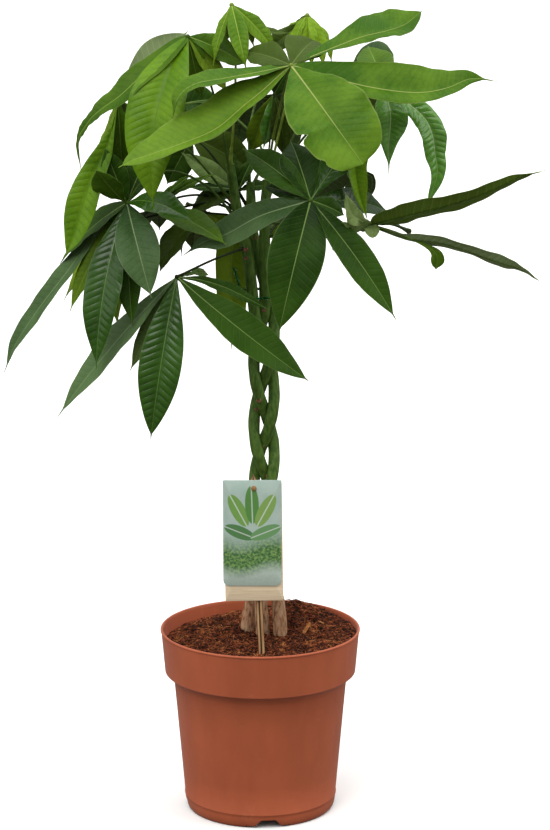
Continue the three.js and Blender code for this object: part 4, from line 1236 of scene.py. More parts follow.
@dataclass
class BraidedStems:
    """Three stems plaited together, tied near the top.

    Attributes:
        centre_x: Middle of the plait.
        swing: Half the plait's width, from stem centre to stem centre.
        depth: How far a stem passes in front of and behind the middle.
        turn: Height in which a stem comes back to its place.
        stem_radius: Radius in the plait.
        foot_radius: Radius at the soil.
        plait_foot: Height where the plait begins.
        plait_top: Height where it ends.
        front_height: A height at which the left stem is at its right turning point.
    """

    centre_x: float = 3.5
    swing: float = 8.7
    depth: float = 6.1
    turn: float = 165.0
    stem_radius: float = 5.0
    foot_radius: float = 6.8
    plait_foot: float = 205.0
    plait_top: float = 452.0
    front_height: float = 371.0
    sides: int = 22
    rows: int = 260
    stems: tuple[Stem, ...] = (
        Stem("stem_left", 0, ((18.5, -12, 118), (17.5, -10.5, 155), (16.0, -5, 182)),
             ((-11, -2, 497), (-19, -1, 530), (-25, 0, 569))),
        Stem("stem_right", 1, ((3, -6, 118), (2.5, -6, 155), (1, -6.5, 182)),
             ((4, -1, 497), (4, -1, 525), (6, 0, 556))),
        Stem("stem_middle", 2, ((-12.5, 6, 118), (-11.5, 6, 155), (-7.5, 8, 182)),
             ((-4, 9.5, 497), (-7, 13, 524), (-8, 15, 552))),
    )
    scars: tuple[Scar, ...] = (
        Scar(0, 498, 262), Scar(2, 505, 300, 4.0), Scar(0, 491, 250, 3.6), Scar(1, 446, 265, 4.0),
        Scar(1, 368, 255, 5.0), Scar(0, 326, 262, 4.6), Scar(2, 357, 280, 4.2), Scar(2, 347, 330, 3.6),
        Scar(0, 318, 300, 4.0), Scar(1, 240, 90), Scar(2, 290, 80), Scar(0, 410, 100), Scar(1, 420, 60),
        Scar(2, 400, 130), Scar(0, 220, 20), Scar(2, 470, 90), Scar(1, 520, 285, 3.6), Scar(0, 540, 200, 3.4),
        Scar(1, 300, 170), Scar(2, 240, 200), Scar(0, 212, 350, 5.0),
    )

    def path(self, stem: Stem) -> Path:
        """The middle line of a stem."""
        points = list(stem.foot)
        height = self.plait_foot
        while height <= self.plait_top:
            angle = TURN * (height - self.front_height) / self.turn + stem.strand * TURN / 3
            points.append((self.centre_x + self.swing * math.cos(angle), self.depth * math.sin(2 * angle), height))
            height += self.turn / 12
        points.extend(stem.above)
        return through(points)

    def radius(self, share: Array) -> Array:
        """Radius at shares of a stem's length: thick at the foot, slim at the top."""
        swelling = np.maximum(0, 1 - share / 0.22) ** 0.7
        slimming = np.maximum(0, (share - 0.85) / 0.15)
        return self.stem_radius + (self.foot_radius - self.stem_radius) * swelling - 1.2 * slimming

    def build(self) -> None:
        """Makes the three stems and their scars."""
        finish = StemFinish().material()
        share = np.linspace(0, 1, self.rows)
        lines = []
        for number, stem in enumerate(self.stems):
            path = self.path(stem)
            places = path.spots(share)
            draw = random.Random(40 + number)
            angles = angles_round(self.sides)
            radii = np.repeat(self.radius(share)[:, None], self.sides, axis=1)
            waves = [(draw.uniform(0, 6.28), draw.uniform(14, 26)) for _ in range(3)]
            for shift, count in waves:
                radii = radii + 0.07 * np.sin(count * TURN * share + shift)[:, None]
            ridges = np.clip((230 - places[:, 2]) / 60, 0, 1)[:, None]
            radii = radii + 0.22 * ridges * np.sin(7 * angles + 3 * math.sin(number))[None, :]
            radii = radii + 0.12 * ridges * np.sin(11 * angles[None, :] + 40 * share[:, None])
            points = places[:, None, :] + radii[..., None] * spokes(places, self.sides)
            name = stem.node.replace("stem_", "plaited_stem_")
            hand_over(solid(name, points.reshape(-1, 3), ring_faces(self.rows, self.sides), [finish], 60),
                      "stem_bark", stem.node)
            lines.append((places, self.radius(share)))
        self._build_scars(lines)

    def _build_scars(self, lines: list[tuple[Array, Array]]) -> None:
        """Sets a cork scar on each listed place by a recipe that reads its frame from the point.

        Args:
            lines: Middle points and radii of each stem.
        """
        spots, turns = [], []
        for scar in self.scars:
            places, radii = lines[scar.stem]
            row = int(np.argmin(np.abs(places[:, 2] - scar.height)))
            angle = math.radians(scar.direction)
            out = np.array([math.cos(angle), math.sin(angle), 0.0])
            spots.append(places[row] + out * (radii[row] - 0.15))
            turns.append((0.0, 0.0, angle))
        host = spots_host("scar_spots", np.array(spots))
        turn = host.data.attributes.new("turn", "FLOAT_VECTOR", "POINT")
        turn.data.foreach_set("vector", np.array(turns, float).reshape(-1))
        size = host.data.attributes.new("size", "FLOAT", "POINT")
        size.data.foreach_set("value", np.array([scar.width for scar in self.scars], float))
        cork = SCAR_CORK.material()
        pattern = self._scar_pattern(cork)
        recipe = NodesRecipe("leaf_scars", {"Pattern": pattern, "Scale": 1.0})
        turned, sized = (recipe.add("GeometryNodeInputNamedAttribute", {"Name": name}, "Attribute", data_type=kind)
                         for name, kind in (("turn", "FLOAT_VECTOR"), ("size", "FLOAT")))
        copies = recipe.add("GeometryNodeInstanceOnPoints", {
            "Points": recipe.add("GeometryNodeMeshToPoints", {"Mesh": "Geometry"}),
            "Instance": recipe.add("GeometryNodeObjectInfo", {"Object": "Pattern"}, "Geometry"),
            "Rotation": recipe.add("FunctionNodeEulerToRotation", {0: turned}),
            "Scale": recipe.add("ShaderNodeMath", {0: sized, 1: "Scale"}, operation="MULTIPLY")})
        hand_over(recipe.run(copies, host, cork), "stem_bark")
        bpy.data.objects.remove(pattern)

    @staticmethod
    def _scar_pattern(cork: Material) -> Thing:
        """A scar 1 mm wide that faces +X: a low shield with a raised rim, closed behind."""
        points = []
        for radius, out in ((0.46, -0.16), (0.5, 0.02), (0.4, 0.12), (0.26, 0.05)):
            for angle in angles_round(12):
                high = math.sin(angle)
                points.append((out, radius * math.cos(angle), 0.8 * radius * (high if high > 0 else 1.25 * high)))
        return solid("scar_pattern", points, ring_faces(4, 12), [cork], 80)


# Tie


class Tinsel(Enum):
    """Tinsel twist wire: metallised plastic film cut to a fringe round a steel wire, which glitters."""

    GREEN = GrainFinish("tinsel_film_green", ((0.4, "053c10"), (0.6, "0f6a20")), 900.0, 0.22, metal=0.8)
    SILVER = GrainFinish("tinsel_film_silver", ((0.4, "6fae98"), (0.6, "9fd8c4")), 900.0, 0.22, metal=0.8)


@dataclass
class TinselTie:
    """One turn of tinsel wire round the stems, with a loose end.

    Attributes:
        stems: The plait that it holds.
        core: Radius of the wire core.
        strips: Number of film strips along the wire.
        strip_length: Length of a strip, in millimetres.
    """

    stems: BraidedStems
    core: float = 0.7
    strips: int = 1500
    strip_length: float = 2.4

    def path(self) -> Path:
        """The wire's line."""
        braid = self.stems
        reach_x = braid.swing + braid.stem_radius + 2.4
        reach_y = braid.depth + braid.stem_radius + 3.2
        points = [(-22, -6, 482), (-17, -8, 464)]
        for i in range(16):
            angle = -math.pi * 0.9 + TURN * i / 14
            points.append((braid.centre_x - 3 + (reach_x + 0.1 * i) * math.cos(angle),
                           (reach_y + 0.1 * i) * math.sin(angle), 456 + 0.35 * i))
        return through(points)

    def build(self) -> None:
        """Makes the wire and its fringe."""
        path = self.path()
        share = np.linspace(0, 1, 160)
        shell = Shell()
        tube(shell, path.spots(share), np.full(len(share), self.core), 8)
        hand_over(shell.build("tie_wire", [Tinsel.GREEN.value.material()], 60), "tinsel_wire", "tie")
        for name, tone, count, seed in (("tie_fringe", Tinsel.GREEN, self.strips, 3),
                                        ("tie_glints", Tinsel.SILVER, self.strips // 7, 5)):
            hand_over(self._fringe(path, name, tone.value.material(), count, seed), "tinsel_wire")

    def _fringe(self, path: Path, name: str, film: Material, count: int, seed: int) -> Thing:
        """Film strips that stand out from the wire on all sides.

        Args:
            path: The wire's line.
            name: Name of the piece.
            film: Its material.
            count: Number of strips.
            seed: Seed of their turns.

        Returns:
            The fringe.
        """
        thin, wide = 0.04, 0.16
        corners = [(x, y, z) for z in (0.1, self.strip_length)
                   for x, y in ((-wide, -thin), (wide, -thin), (wide, thin), (-wide, thin))]
        pattern = solid("strip_pattern", corners, ring_faces(2, 4), [film], 30)
        recipe = NodesRecipe(name, {"Pattern": pattern, "Least scale": 0.5, "Most scale": 1.0, "Seed": seed})
        copies = recipe.strew(recipe.add("GeometryNodeMeshToPoints", {"Mesh": "Geometry"}),
                              recipe.add("GeometryNodeObjectInfo", {"Object": "Pattern"}, "Geometry"),
                              ((0, 0, 0), (6.283, 6.283, 6.283)))
        fringe = recipe.run(copies, spots_host(name, path.spots(np.linspace(0.005, 0.995, count))), film)
        bpy.data.objects.remove(pattern)
        return fringe


# Pot


@dataclass(frozen=True)
class PotFinish:
    """Terracotta-coloured polypropylene, injection moulded: a matte satin skin with faint flow marks and dust.

    Attributes:
        clay: Main colour.
        shade: Colour of the slightly darker flow marks.
        dust: Colour of dry dust and handling marks.
    """

    clay: str = "b45d3c"
    shade: str = "aa5738"
    dust: str = "c27f60"

    def material(self) -> Material:
        """Flow marks about 15 mm wide, fine grain of 0.5 mm from the mould, dust in scattered patches."""
        skin = Skin("moulded_polypropylene_terracotta", gloss=0.25)
        flow = skin.noise(45.0, 4.0, stretch=(1, 1, 0.4))
        marks = skin.noise(130.0, 6.0, 0.7)
        base = skin.ramp(flow, (0.35, self.shade), (0.65, self.clay))
        skin.feed("Base Color", skin.mix(skin.span(marks, 0.6, 0.78, 0.0, 0.3), base, self.dust))
        skin.feed("Roughness", skin.span(marks, 0.3, 0.75, 0.46, 0.62))
        skin.shader.inputs["Sheen Weight"].default_value = 0.1
        skin.shader.inputs["Sheen Roughness"].default_value = 0.4
        skin.bump(skin.noise(1500.0), 0.12, 0.0003)
        return skin.material


@dataclass
class NurseryPot:
    """A thin-walled moulded nursery pot: deep collar, tapered wall, skirt with four notches, drained floor.

    Attributes:
        rim_radius: Radius over the lip.
        height: Height over all.
        wall: Wall thickness.
        collar: Height of the collar band.
        collar_foot: Radius at the band's lower edge.
        shoulder: Height of the slope below the band.
        wall_top: Wall radius under the shoulder.
        wall_foot: Wall radius above the rounded corner.
        foot: Outer radius of the foot ring.
        corner: Height of the rounded corner.
        floor: Height of the floor's underside.
        skirt: Inner radius of the foot ring.
    """

    rim_radius: float = 87.2
    height: float = 162.0
    wall: float = 1.6
    collar: float = 38.5
    collar_foot: float = 83.2
    shoulder: float = 9.0
    wall_top: float = 75.3
    wall_foot: float = 66.2
    foot: float = 62.6
    corner: float = 11.0
    floor: float = 8.0
    skirt: float = 60.0
    notch_count: int = 4
    notch_low: float = 21.0
    notch_high: float = 12.0
    notch_height: float = 7.6
    notch_turn: float = 0.11
    notch_radius: float = 61.0
    step_width: float = 36.0
    step_height: float = 1.7
    drain_count: int = 6
    drain_radius: float = 4.0
    drain_circle: float = 42.0
    segments: int = 288

    def profile(self) -> list[tuple[float, float]]:
        """Radius and height down the outside and up the inside, from axis to axis."""
        wall, collar, foot, skirt = self.wall_top, self.collar_foot, self.wall_foot, self.skirt
        band_foot, top, floor = self.height - self.collar, self.height, self.floor
        wall_top = band_foot - self.shoulder
        points = [(0.0, floor), (skirt + 0.8, floor), (skirt + 0.4, 4.0), (skirt, 0.5), (skirt + 0.4, 0.0),
                  (self.foot - 0.3, 0.0)]
        for k in range(1, 9):
            angle = math.radians(90 * k / 8)
            points.append((self.foot + (foot - self.foot) * math.sin(angle), self.corner * (1 - math.cos(angle))))
        points += [(foot + out, self.corner + up) for out, up in ((0.55, 0.8), (0.6, 1.6), (0.25, 2.3))]
        points += [(foot + share * (wall - foot), self.corner + share * (wall_top - self.corner))
                   for share in (0.25, 0.5, 0.75)]
        points += [(wall + out, wall_top + up) for out, up in ((-0.1, -1.4), (0.3, -0.4), (0.4, 0.7), (1.2, 2.6),
                                                               (2.3, 4.6), (3.6, 6.4))]
        points += [(wall + out, band_foot - down) for out, down in ((5.2, 1.2), (6.2, 0.6), (6.4, 0.3))]
        points += [(collar + out, band_foot + up) for out, up in ((-0.4, -0.1), (0.1, 0.4), (0.2, 1.6))]
        slope = (self.rim_radius - 1.0 - collar) / (self.collar - 4)
        points += [(collar + 0.1 + slope * share * (self.collar - 4), band_foot + share * (self.collar - 4))
                   for share in (0.3, 0.6, 0.9)]
        lip = 1.15
        for k in range(-2, 9):
            angle = math.radians(-20 + 22.5 * k)
            points.append((self.rim_radius - lip + lip * math.cos(angle), top - lip + lip * math.sin(angle)))
        inner_foot = foot - self.wall
        points += [(self.rim_radius - self.wall - 0.9, top - 3.0), (collar - self.wall, band_foot + 2.6),
                   (wall + 3.1, band_foot - 0.3), (wall + 1.3, band_foot - 5.5), (wall - self.wall, wall_top - 0.5),
                   (inner_foot, self.corner + 1.5), (inner_foot - 2.5, floor + self.wall), (0.0, floor + self.wall)]
        return points

    def lift(self, angle: float, radius: float) -> float:
        """Height of the skirt's lower edge at an angle: the foot's four notches, each in a shallow step."""
        spacing = TURN / self.notch_count
        away = abs((angle - self.notch_turn + math.pi / 2 + spacing / 2) % spacing - spacing / 2) * radius
        if away > self.step_width / 2:
            return 0.0
        if away > self.notch_low / 2:
            return self.step_height
        share = (self.notch_low / 2 - away) / (self.notch_low / 2 - self.notch_high / 2)
        return self.step_height + min(1.0, share) * (self.notch_height - self.step_height)

    def build(self) -> None:
        """Makes the pot, cuts its drain holes and dresses it."""
        finish = PotFinish().material()
        profile = self.profile()
        inner = profile[1:-1]
        count = self.segments
        rings = lathed(inner, count).reshape(len(inner), count, 3)
        cut_away = [self.lift(angle, self.notch_radius) for angle in angles_round(count)]
        for ring, (radius, height) in zip(rings, inner):
            if height < self.notch_height and radius > self.skirt - 1:
                ring[:, 2] = np.maximum(height, cut_away)
        points = [(0.0, 0.0, profile[0][1]), *rings.reshape(-1, 3), (0.0, 0.0, profile[-1][1])]
        faces = [tuple(corner + 1 for corner in face) for face in ring_faces(len(inner), count, closed_ends=False)]
        last = 1 + (len(inner) - 1) * count
        for k in range(count):
            faces.append((0, 1 + (k + 1) % count, 1 + k))
            faces.append((len(points) - 1, last + k, last + (k + 1) % count))
        host = solid("pot_blank", points, faces, [finish], 40)
        recipe = NodesRecipe("nursery_pot", {"Holes": self.drain_count, "Circle": self.drain_circle * MM,
                                             "Hole radius": self.drain_radius * MM})
        circle = recipe.add("GeometryNodeMeshCircle", {"Vertices": "Holes", "Radius": "Circle"})
        drills = recipe.add("GeometryNodeInstanceOnPoints", {
            "Points": recipe.add("GeometryNodeMeshToPoints", {"Mesh": circle}),
            "Instance": recipe.add("GeometryNodeMeshCylinder", {"Vertices": 24, "Radius": "Hole radius",
                                                                "Depth": 0.03})})
        turned = recipe.add("GeometryNodeTransform", {
            "Geometry": recipe.add("GeometryNodeRealizeInstances", {"Geometry": drills}),
            "Rotation": (0, 0, math.pi / self.drain_count), "Translation": (0, 0, self.floor * MM)})
        cut = recipe.add("GeometryNodeMeshBoolean", {"Mesh 1": "Geometry", "Mesh 2": turned},
                         operation="DIFFERENCE")
        hand_over(recipe.run(cut, host, finish), "pot_plastic", "pot")


# Soil


def soil_finish(name: str, dark: str, middle: str, light: str, scale: float = 320.0) -> GrainFinish:
    """Potting mix: dull crumbs, pith or peat, mottled in grains of 1 to 3 mm, with strong fine relief."""
    return GrainFinish(f"soil_{name}", ((0.62, dark), (0.82, middle), (0.98, light)), scale, 0.95, 0.15, 6.0, 0.65,
                       relief=(0.8, 0.001), patches=True)


class SoilKind(Enum):
    """The fractions of the potting mix."""

    BED = soil_finish("peat_bed", "1c0b06", "3e1d10", "60331d")
    PITH = soil_finish("coir_pith", "3c1a0e", "743a22", "a45c36", 500.0)
    FIBRE = soil_finish("coir_fibre", "542814", "8a4a2a", "c0804c", 200.0)
    ROOT = soil_finish("dark_root", "1a0c07", "321a10", "4c2a1a", 300.0)
    PEAT = soil_finish("dark_peat", "120a06", "24140c", "3a2215", 500.0)
    CHIP = soil_finish("wood_chip", "6e4020", "a0683a", "bd8450", 260.0)


@dataclass
class PottingSoil:
    """The filling: a rough crowned top with crumbs, fibres and a few wood chips in it.

    Attributes:
        pot: The pot that it fills.
        edge_height: Height of the top at the wall.
        crown_height: Height of the top in the middle.
        slope: How much the top rises towards +X, per millimetre.
        heap_height: Height of the heap at the back on the right.
        heap_place: Its x and y.
        heap_width: Its spread.
        reach: Radius at which the crown has died away.
    """

    pot: NurseryPot
    edge_height: float = 153.0
    crown_height: float = 157.0
    slope: float = 0.055
    heap_height: float = 10.0
    heap_place: tuple[float, float] = (30.0, 60.0)
    heap_width: float = 19.0
    reach: float = 84.0
    rows: int = 84
    spokes: int = 300

    def top_height(self, x: Array, y: Array) -> Array:
        """Height of the rough top at a place, in millimetres."""
        radius = np.hypot(x, y) / self.reach
        dome = self.edge_height + (self.crown_height - self.edge_height) * np.clip(1.35 * (1 - radius ** 2), 0, 1)
        rough = np.zeros_like(dome)
        draw = random.Random(11)
        for size, height in ((26, 1.3), (13, 1.2), (7, 1.1), (4, 0.9)):
            for _ in range(5):
                turn, start, bend = (draw.uniform(0, TURN) for _ in range(3))
                step = TURN / (size * draw.uniform(0.8, 1.25))
                across = x * math.cos(turn) + y * math.sin(turn)
                other = x * math.sin(turn) - y * math.cos(turn)
                bent = 1.3 * np.sin(0.6 * step * other + bend)
                rough = rough + 0.42 * height * np.sin(step * across + start + bent)
        off_x, off_y = x - self.heap_place[0], y - self.heap_place[1]
        heap = self.heap_height * np.exp(-(off_x ** 2 + off_y ** 2) / (2 * self.heap_width ** 2))
        return dome + heap + self.slope * x + rough * np.clip(3.5 * (1 - radius), 0.3, 1)

    def edge_radius(self) -> float:
        """Radius of the soil's top edge, just inside the wall."""
        band_foot = self.pot.height - self.pot.collar
        slope = (self.pot.rim_radius - 0.8 - self.pot.collar_foot) / (self.pot.collar - 3)
        return self.pot.collar_foot - self.pot.wall - 0.4 + slope * (self.edge_height - band_foot)

    def build(self) -> None:
        """Makes the bed of soil, then scatters crumbs, fibres and chips on it."""
        pot = self.pot
        band_foot = pot.height - pot.collar
        wall_top = band_foot - pot.shoulder
        offset = pot.wall + 0.3
        wall = ((pot.wall_foot - offset - 2.8, pot.floor + offset), (pot.wall_foot - offset, pot.corner + 2),
                (pot.wall_top - offset, wall_top - 0.4), (pot.wall_top + 1.0, band_foot - 5.4),
                (pot.wall_top + 2.8, band_foot - 0.1), (pot.collar_foot - offset, band_foot + 3.2))
        top = self._rings(np.linspace(0, self.edge_radius(), self.rows + 1)[:0:-1], self.spokes)
        points = np.concatenate([lathed(wall, self.spokes), top])
        soil = solid("potting_soil", points, ring_faces(len(wall) + self.rows, self.spokes),
                     [SoilKind.BED.value.material()], 80)
        hand_over(soil, "coir_soil", "soil")
        surface, middle = self._surface(1.8), self._surface(7.5)
        self._scatter(surface, "soil_crumbs", SoilKind.PITH, self._crumbs(), 3000, 21, (0.45, 1.6))
        self._scatter(surface, "peat_crumbs", SoilKind.PEAT, self._crumbs(), 1100, 22, (0.5, 1.8))
        self._scatter(middle, "coir_fibres", SoilKind.FIBRE, self._fibres(), 2300, 23, (0.5, 1.2))
        self._scatter(middle, "dark_roots", SoilKind.ROOT, self._fibres(), 1200, 24, (0.5, 1.2))
        for helper in (surface, middle):
            bpy.data.objects.remove(helper)
        self._chips()

    def _rings(self, radii: Array, count: int) -> Array:
        """Rings of points on the rough top, one for each radius."""
        points = lathed([(radius, 0.0) for radius in radii], count)
        points[:, 2] = self.top_height(points[:, 0], points[:, 1])
        return points

    def _surface(self, inset: float) -> Thing:
        """A helper sheet of the open top, that far inside the wall, which the scattering reads."""
        points = self._rings(np.linspace(2, self.edge_radius() - inset, 30), 96)
        return solid("soil_top_helper", points, ring_faces(30, 96, closed_ends=False), [], 80)

    def _scatter(self, surface: Thing, name: str, kind: SoilKind, patterns: list[Thing], count: int, seed: int,
                 sizes: tuple[float, float]) -> None:
        """Scatters copies of patterns on the soil by a recipe.

        Args:
            surface: The sheet to scatter on.
            name: Name of the piece.
            kind: The fraction, which gives its finish.
            patterns: The shapes to copy.
            count: About how many copies.
            seed: Seed of places and turns.
            sizes: Least and most scale.
        """
        group = bpy.data.collections.new(f"{name}_patterns")
        for thing in patterns:
            bpy.context.scene.collection.objects.unlink(thing)
            group.objects.link(thing)
        area = math.pi * (self.edge_radius() * MM) ** 2
        recipe = NodesRecipe(name, {"Patterns": group, "Density": count / area, "Least scale": sizes[0],
                                    "Most scale": sizes[1], "Seed": seed})
        spots = recipe.add("GeometryNodeDistributePointsOnFaces", {"Mesh": "Geometry", "Density": "Density",
                                                                   "Seed": "Seed"}, "Points")
        shapes = recipe.add("GeometryNodeCollectionInfo", {"Collection": "Patterns", "Separate Children": True,
                                                           "Reset Children": True})
        copies = recipe.strew(spots, shapes, ((-0.5, -0.5, 0), (0.5, 0.5, 6.283)), Pick_Instance=True)
        host = show(surface.copy())
        host.data = surface.data.copy()
        hand_over(recipe.run(copies, host, kind.value.material()), "coir_soil")
        for thing in patterns:
            bpy.data.objects.remove(thing)
        bpy.data.collections.remove(group)

    @staticmethod
    def _crumbs() -> list[Thing]:
        """Five uneven lumps about 2.5 mm across."""
        lumps = []
        for seed in range(5):
            draw = random.Random(60 + seed)
            points = []
            for rise in np.radians([-50, -15, 15, 50]):
                for turn in angles_round(6):
                    radius = draw.uniform(0.8, 1.5)
                    points.append((radius * math.cos(rise) * math.cos(turn),
                                   0.75 * radius * math.cos(rise) * math.sin(turn), 0.6 * radius * math.sin(rise)))
            lumps.append(solid(f"crumb_pattern_{seed}", points, ring_faces(4, 6), [], 30))
        return lumps

    @staticmethod
    def _fibres() -> list[Thing]:
        """Six bent fibres, 6 to 13 mm long and drawn 0.5 mm thick so that they show."""
        fibres = []
        for seed in range(6):
            draw = random.Random(80 + seed)
            length = draw.uniform(6, 13)
            points = [(0.0, 0.0, 0.1)]
            for step in range(1, 4):
                points.append((length * step / 3, draw.uniform(-2.2, 2.2), draw.uniform(0.1, 1.5)))
            line = through(points)
            share = np.linspace(0, 1, 6)
            places = line.read(share) - np.array([length / 2, 0, 0])
            shell = Shell()
            tube(shell, places, 0.26 * (1 - 0.6 * share), 4)
            fibres.append(shell.build(f"fibre_pattern_{seed}", [], 60))
        return fibres

    def _chips(self) -> None:
        """Splinters of wood that lie on the soil: one long orange chip in front on the right, and small ones."""
        shell = Shell()
        chips = (((38, -12), 62, 19, 3.4, 25), ((-38, -22), 20, 6, 1.3, 12), ((54, 18), 150, 6, 1.3, 14),
                 ((20, -46), 75, 5, 1.2, 16), ((-14, 44), 40, 7, 1.4, 12))
        for number, ((x, y), turn, length, width, tilt) in enumerate(chips):
            draw = random.Random(90 + number)
            ground = float(self.top_height(np.array([float(x)]), np.array([float(y)]))[0])
            across = math.radians(turn)
            forward = np.array([math.cos(across), math.sin(across), math.tan(math.radians(tilt))])
            side = np.array([-math.sin(across), math.cos(across), 0.0])
            rings = []
            for share in np.linspace(0, 1, 7):
                half = 0.5 * width * (0.25 + 0.75 * math.sin(math.pi * min(0.95, 0.12 + share * 0.8)) ** 0.7)
                half *= draw.uniform(0.8, 1.15)
                centre = np.array([x, y, ground + 1.2]) + forward * length * (share - 0.4)
                for off, up in ((-half, -0.45), (half, -0.45), (half * 0.8, 0.5), (-half * 0.7, 0.5)):
                    rings.append(centre + side * off + np.array([0, 0, up * draw.uniform(0.8, 1.2)]))
            shell.add(np.array(rings), ring_faces(7, 4))
        hand_over(shell.build("wood_chips", [SoilKind.CHIP.value.material()], 35), "coir_soil")


# Tag


def sawn_wood(name: str, early: str, late: str, stretch: Point = (1, 1, 0.05)) -> GrainFinish:
    """Sawn unfinished softwood or bamboo: grain lines 1 to 2 mm apart, upright if not told, and fine pores."""
    return GrainFinish(f"sawn_wood_{name}", ((0.32, late), (0.62, early)), 700.0, 0.72, detail=4.0, stretch=stretch,
                       relief=(0.25, 0.0003))


# The card's white paper core and back: dull, uncoated, with grains of about half a millimetre.
PAPER_CORE = GrainFinish("card_paper_core", ((0.3, "dcdcd4"), (0.7, "e8e8e2")), 900.0, 0.8)


@dataclass(frozen=True)
class PrintedLeaf:
    """A plain leaf oval of the card's print: centre and half sizes in millimetres, turn in degrees, colour."""

    centre: tuple[float, float]
    half_length: float
    half_width: float
    turn: float
    colour: str


@dataclass(frozen=True)
class CardFinish:
    """Coated card with a printed pattern of leaf ovals over soft green bands, under a satin varnish.

    Attributes:
        sky: Colour of the upper ground.
        mist: Colour of the middle ground.
        meadow: Colour of the lower band.
        meadow_deep: Colour of its shaded patches.
        leaves: The ovals.
    """

    sky: str = "9fbcae"
    mist: str = "c2d0c6"
    meadow: str = "86a85e"
    meadow_deep: str = "3a6a3c"
    leaves: tuple[PrintedLeaf, ...] = (
        PrintedLeaf((13, 66), 16, 6.2, 118, "78a552"),
        PrintedLeaf((24.5, 71), 17, 6.0, 92, "5a8f46"),
        PrintedLeaf((36, 66), 16, 6.2, 62, "86ab5a"),
        PrintedLeaf((14, 47), 14, 5.6, 158, "568550"),
        PrintedLeaf((36, 47), 14, 5.6, 22, "6f9d66"),
    )

    def material(self) -> Material:
        """The print, read from the card's own map in units of 100 mm, with the origin at the lower left."""
        skin = Skin("coated_card_print", 0.35)
        where = add_node(skin.tree, "ShaderNodeUVMap", uv_map="card").outputs[0]
        parts = skin.parts(where)
        ground = skin.mix(skin.noise(9.0, 3.0, where=where), self.sky, self.mist)
        wave = skin.math("SINE", skin.math("MULTIPLY", parts["X"], 11.0))
        line = skin.math("MULTIPLY_ADD", wave, 0.035, parts["Y"])
        spots = skin.span(skin.noise(42.0, 4.0, where=where), 0.42, 0.62)
        colour = skin.mix(skin.span(line, 0.48, 0.3), ground, skin.mix(spots, self.meadow_deep, self.meadow))
        colour = skin.mix(skin.span(line, 0.2, 0.09, 0.0, 0.85), colour, self.mist)
        for leaf in self.leaves:
            colour = self._print_leaf(skin, where, colour, leaf)
        skin.feed("Base Color", colour)
        return skin.material

    @staticmethod
    def _print_leaf(skin: Skin, where: Socket, below: Socket, leaf: PrintedLeaf) -> Socket:
        """Prints one oval with a pale middle line over what lies below it.

        Args:
            skin: The card's material.
            where: The card's own coordinates.
            below: The colour that it covers.
            leaf: The oval.

        Returns:
            The colour with the oval on it.
        """
        x, z = (way / PRINT_UNIT for way in leaf.centre)
        spot = add_node(skin.tree, "ShaderNodeMapping", {
            "Vector": where, "Location": (x, z, 0), "Rotation": (0, 0, math.radians(leaf.turn)),
            "Scale": (leaf.half_length / PRINT_UNIT, leaf.half_width / PRINT_UNIT, 1),
        }, vector_type="TEXTURE").outputs[0]
        size = add_node(skin.tree, "ShaderNodeVectorMath", {0: spot}, operation="LENGTH").outputs["Value"]
        away = skin.math("ABSOLUTE", skin.parts(spot)["Y"])
        blade = skin.mix(skin.span(away, 0.12, 0.05, 0.0, 0.6), leaf.colour, "e9f0ea")
        return skin.mix(skin.span(size, 1.0, 0.94), below, blade)


@dataclass(frozen=True)
class Board:
    """A thin upright board: its size, how far it reaches below the pin, its shift and its corners' radii."""

    width: float
    height: float
    thickness: float
    below: float
    shift: float
    low: float
    high: float

    def outline(self, steps: int = 8) -> Array:
        """Its outline in x and z, counterclockwise as seen from the front."""
        low, high, right, top = self.low, self.high, self.width / 2, self.height
        points = []
        for x, z, radius, start in ((right - low, low, low, -90), (right - high, top - high, high, 0),
                                    (high - right, top - high, high, 90), (low - right, low, low, 180)):
            for k in range(steps + 1):
                angle = math.radians(start + 90 * k / steps)
                points.append((x + radius * math.cos(angle), z + radius * math.sin(angle)))
        return np.array(points) + (self.shift, -self.below)

    def slab(self, front: float, soft: float) -> tuple[Array, list[tuple[int, ...]], list[int]]:
        """Draws it with softened edges, as nested copies of its outline.

        Args:
            front: The y of its front.
            soft: Radius of its edges.

        Returns:
            Points, faces and slots: 0 for the front, 1 for the rest.
        """
        flat, thick = self.outline(), self.thickness
        low, high = flat.min(axis=0), flat.max(axis=0)
        middle, span = 0.5 * (high + low), 0.5 * (high - low)
        inner = 1 - soft / span.min()
        rings = ((0.02, 0.0), (0.35, 0.0), (0.7, 0.0), (inner, 0.0), (1.0, soft), (1.0, thick - soft),
                 (inner, thick), (0.5, thick), (0.02, thick))
        points = [np.insert((flat - middle) * scale + middle, 1, front + depth, axis=1) for scale, depth in rings]
        count = len(flat)
        slots = [int(number >= 4 * count) for number in range(8 * count)] + [0, 1]
        return np.concatenate(points), ring_faces(len(rings), count, flip=True), slots


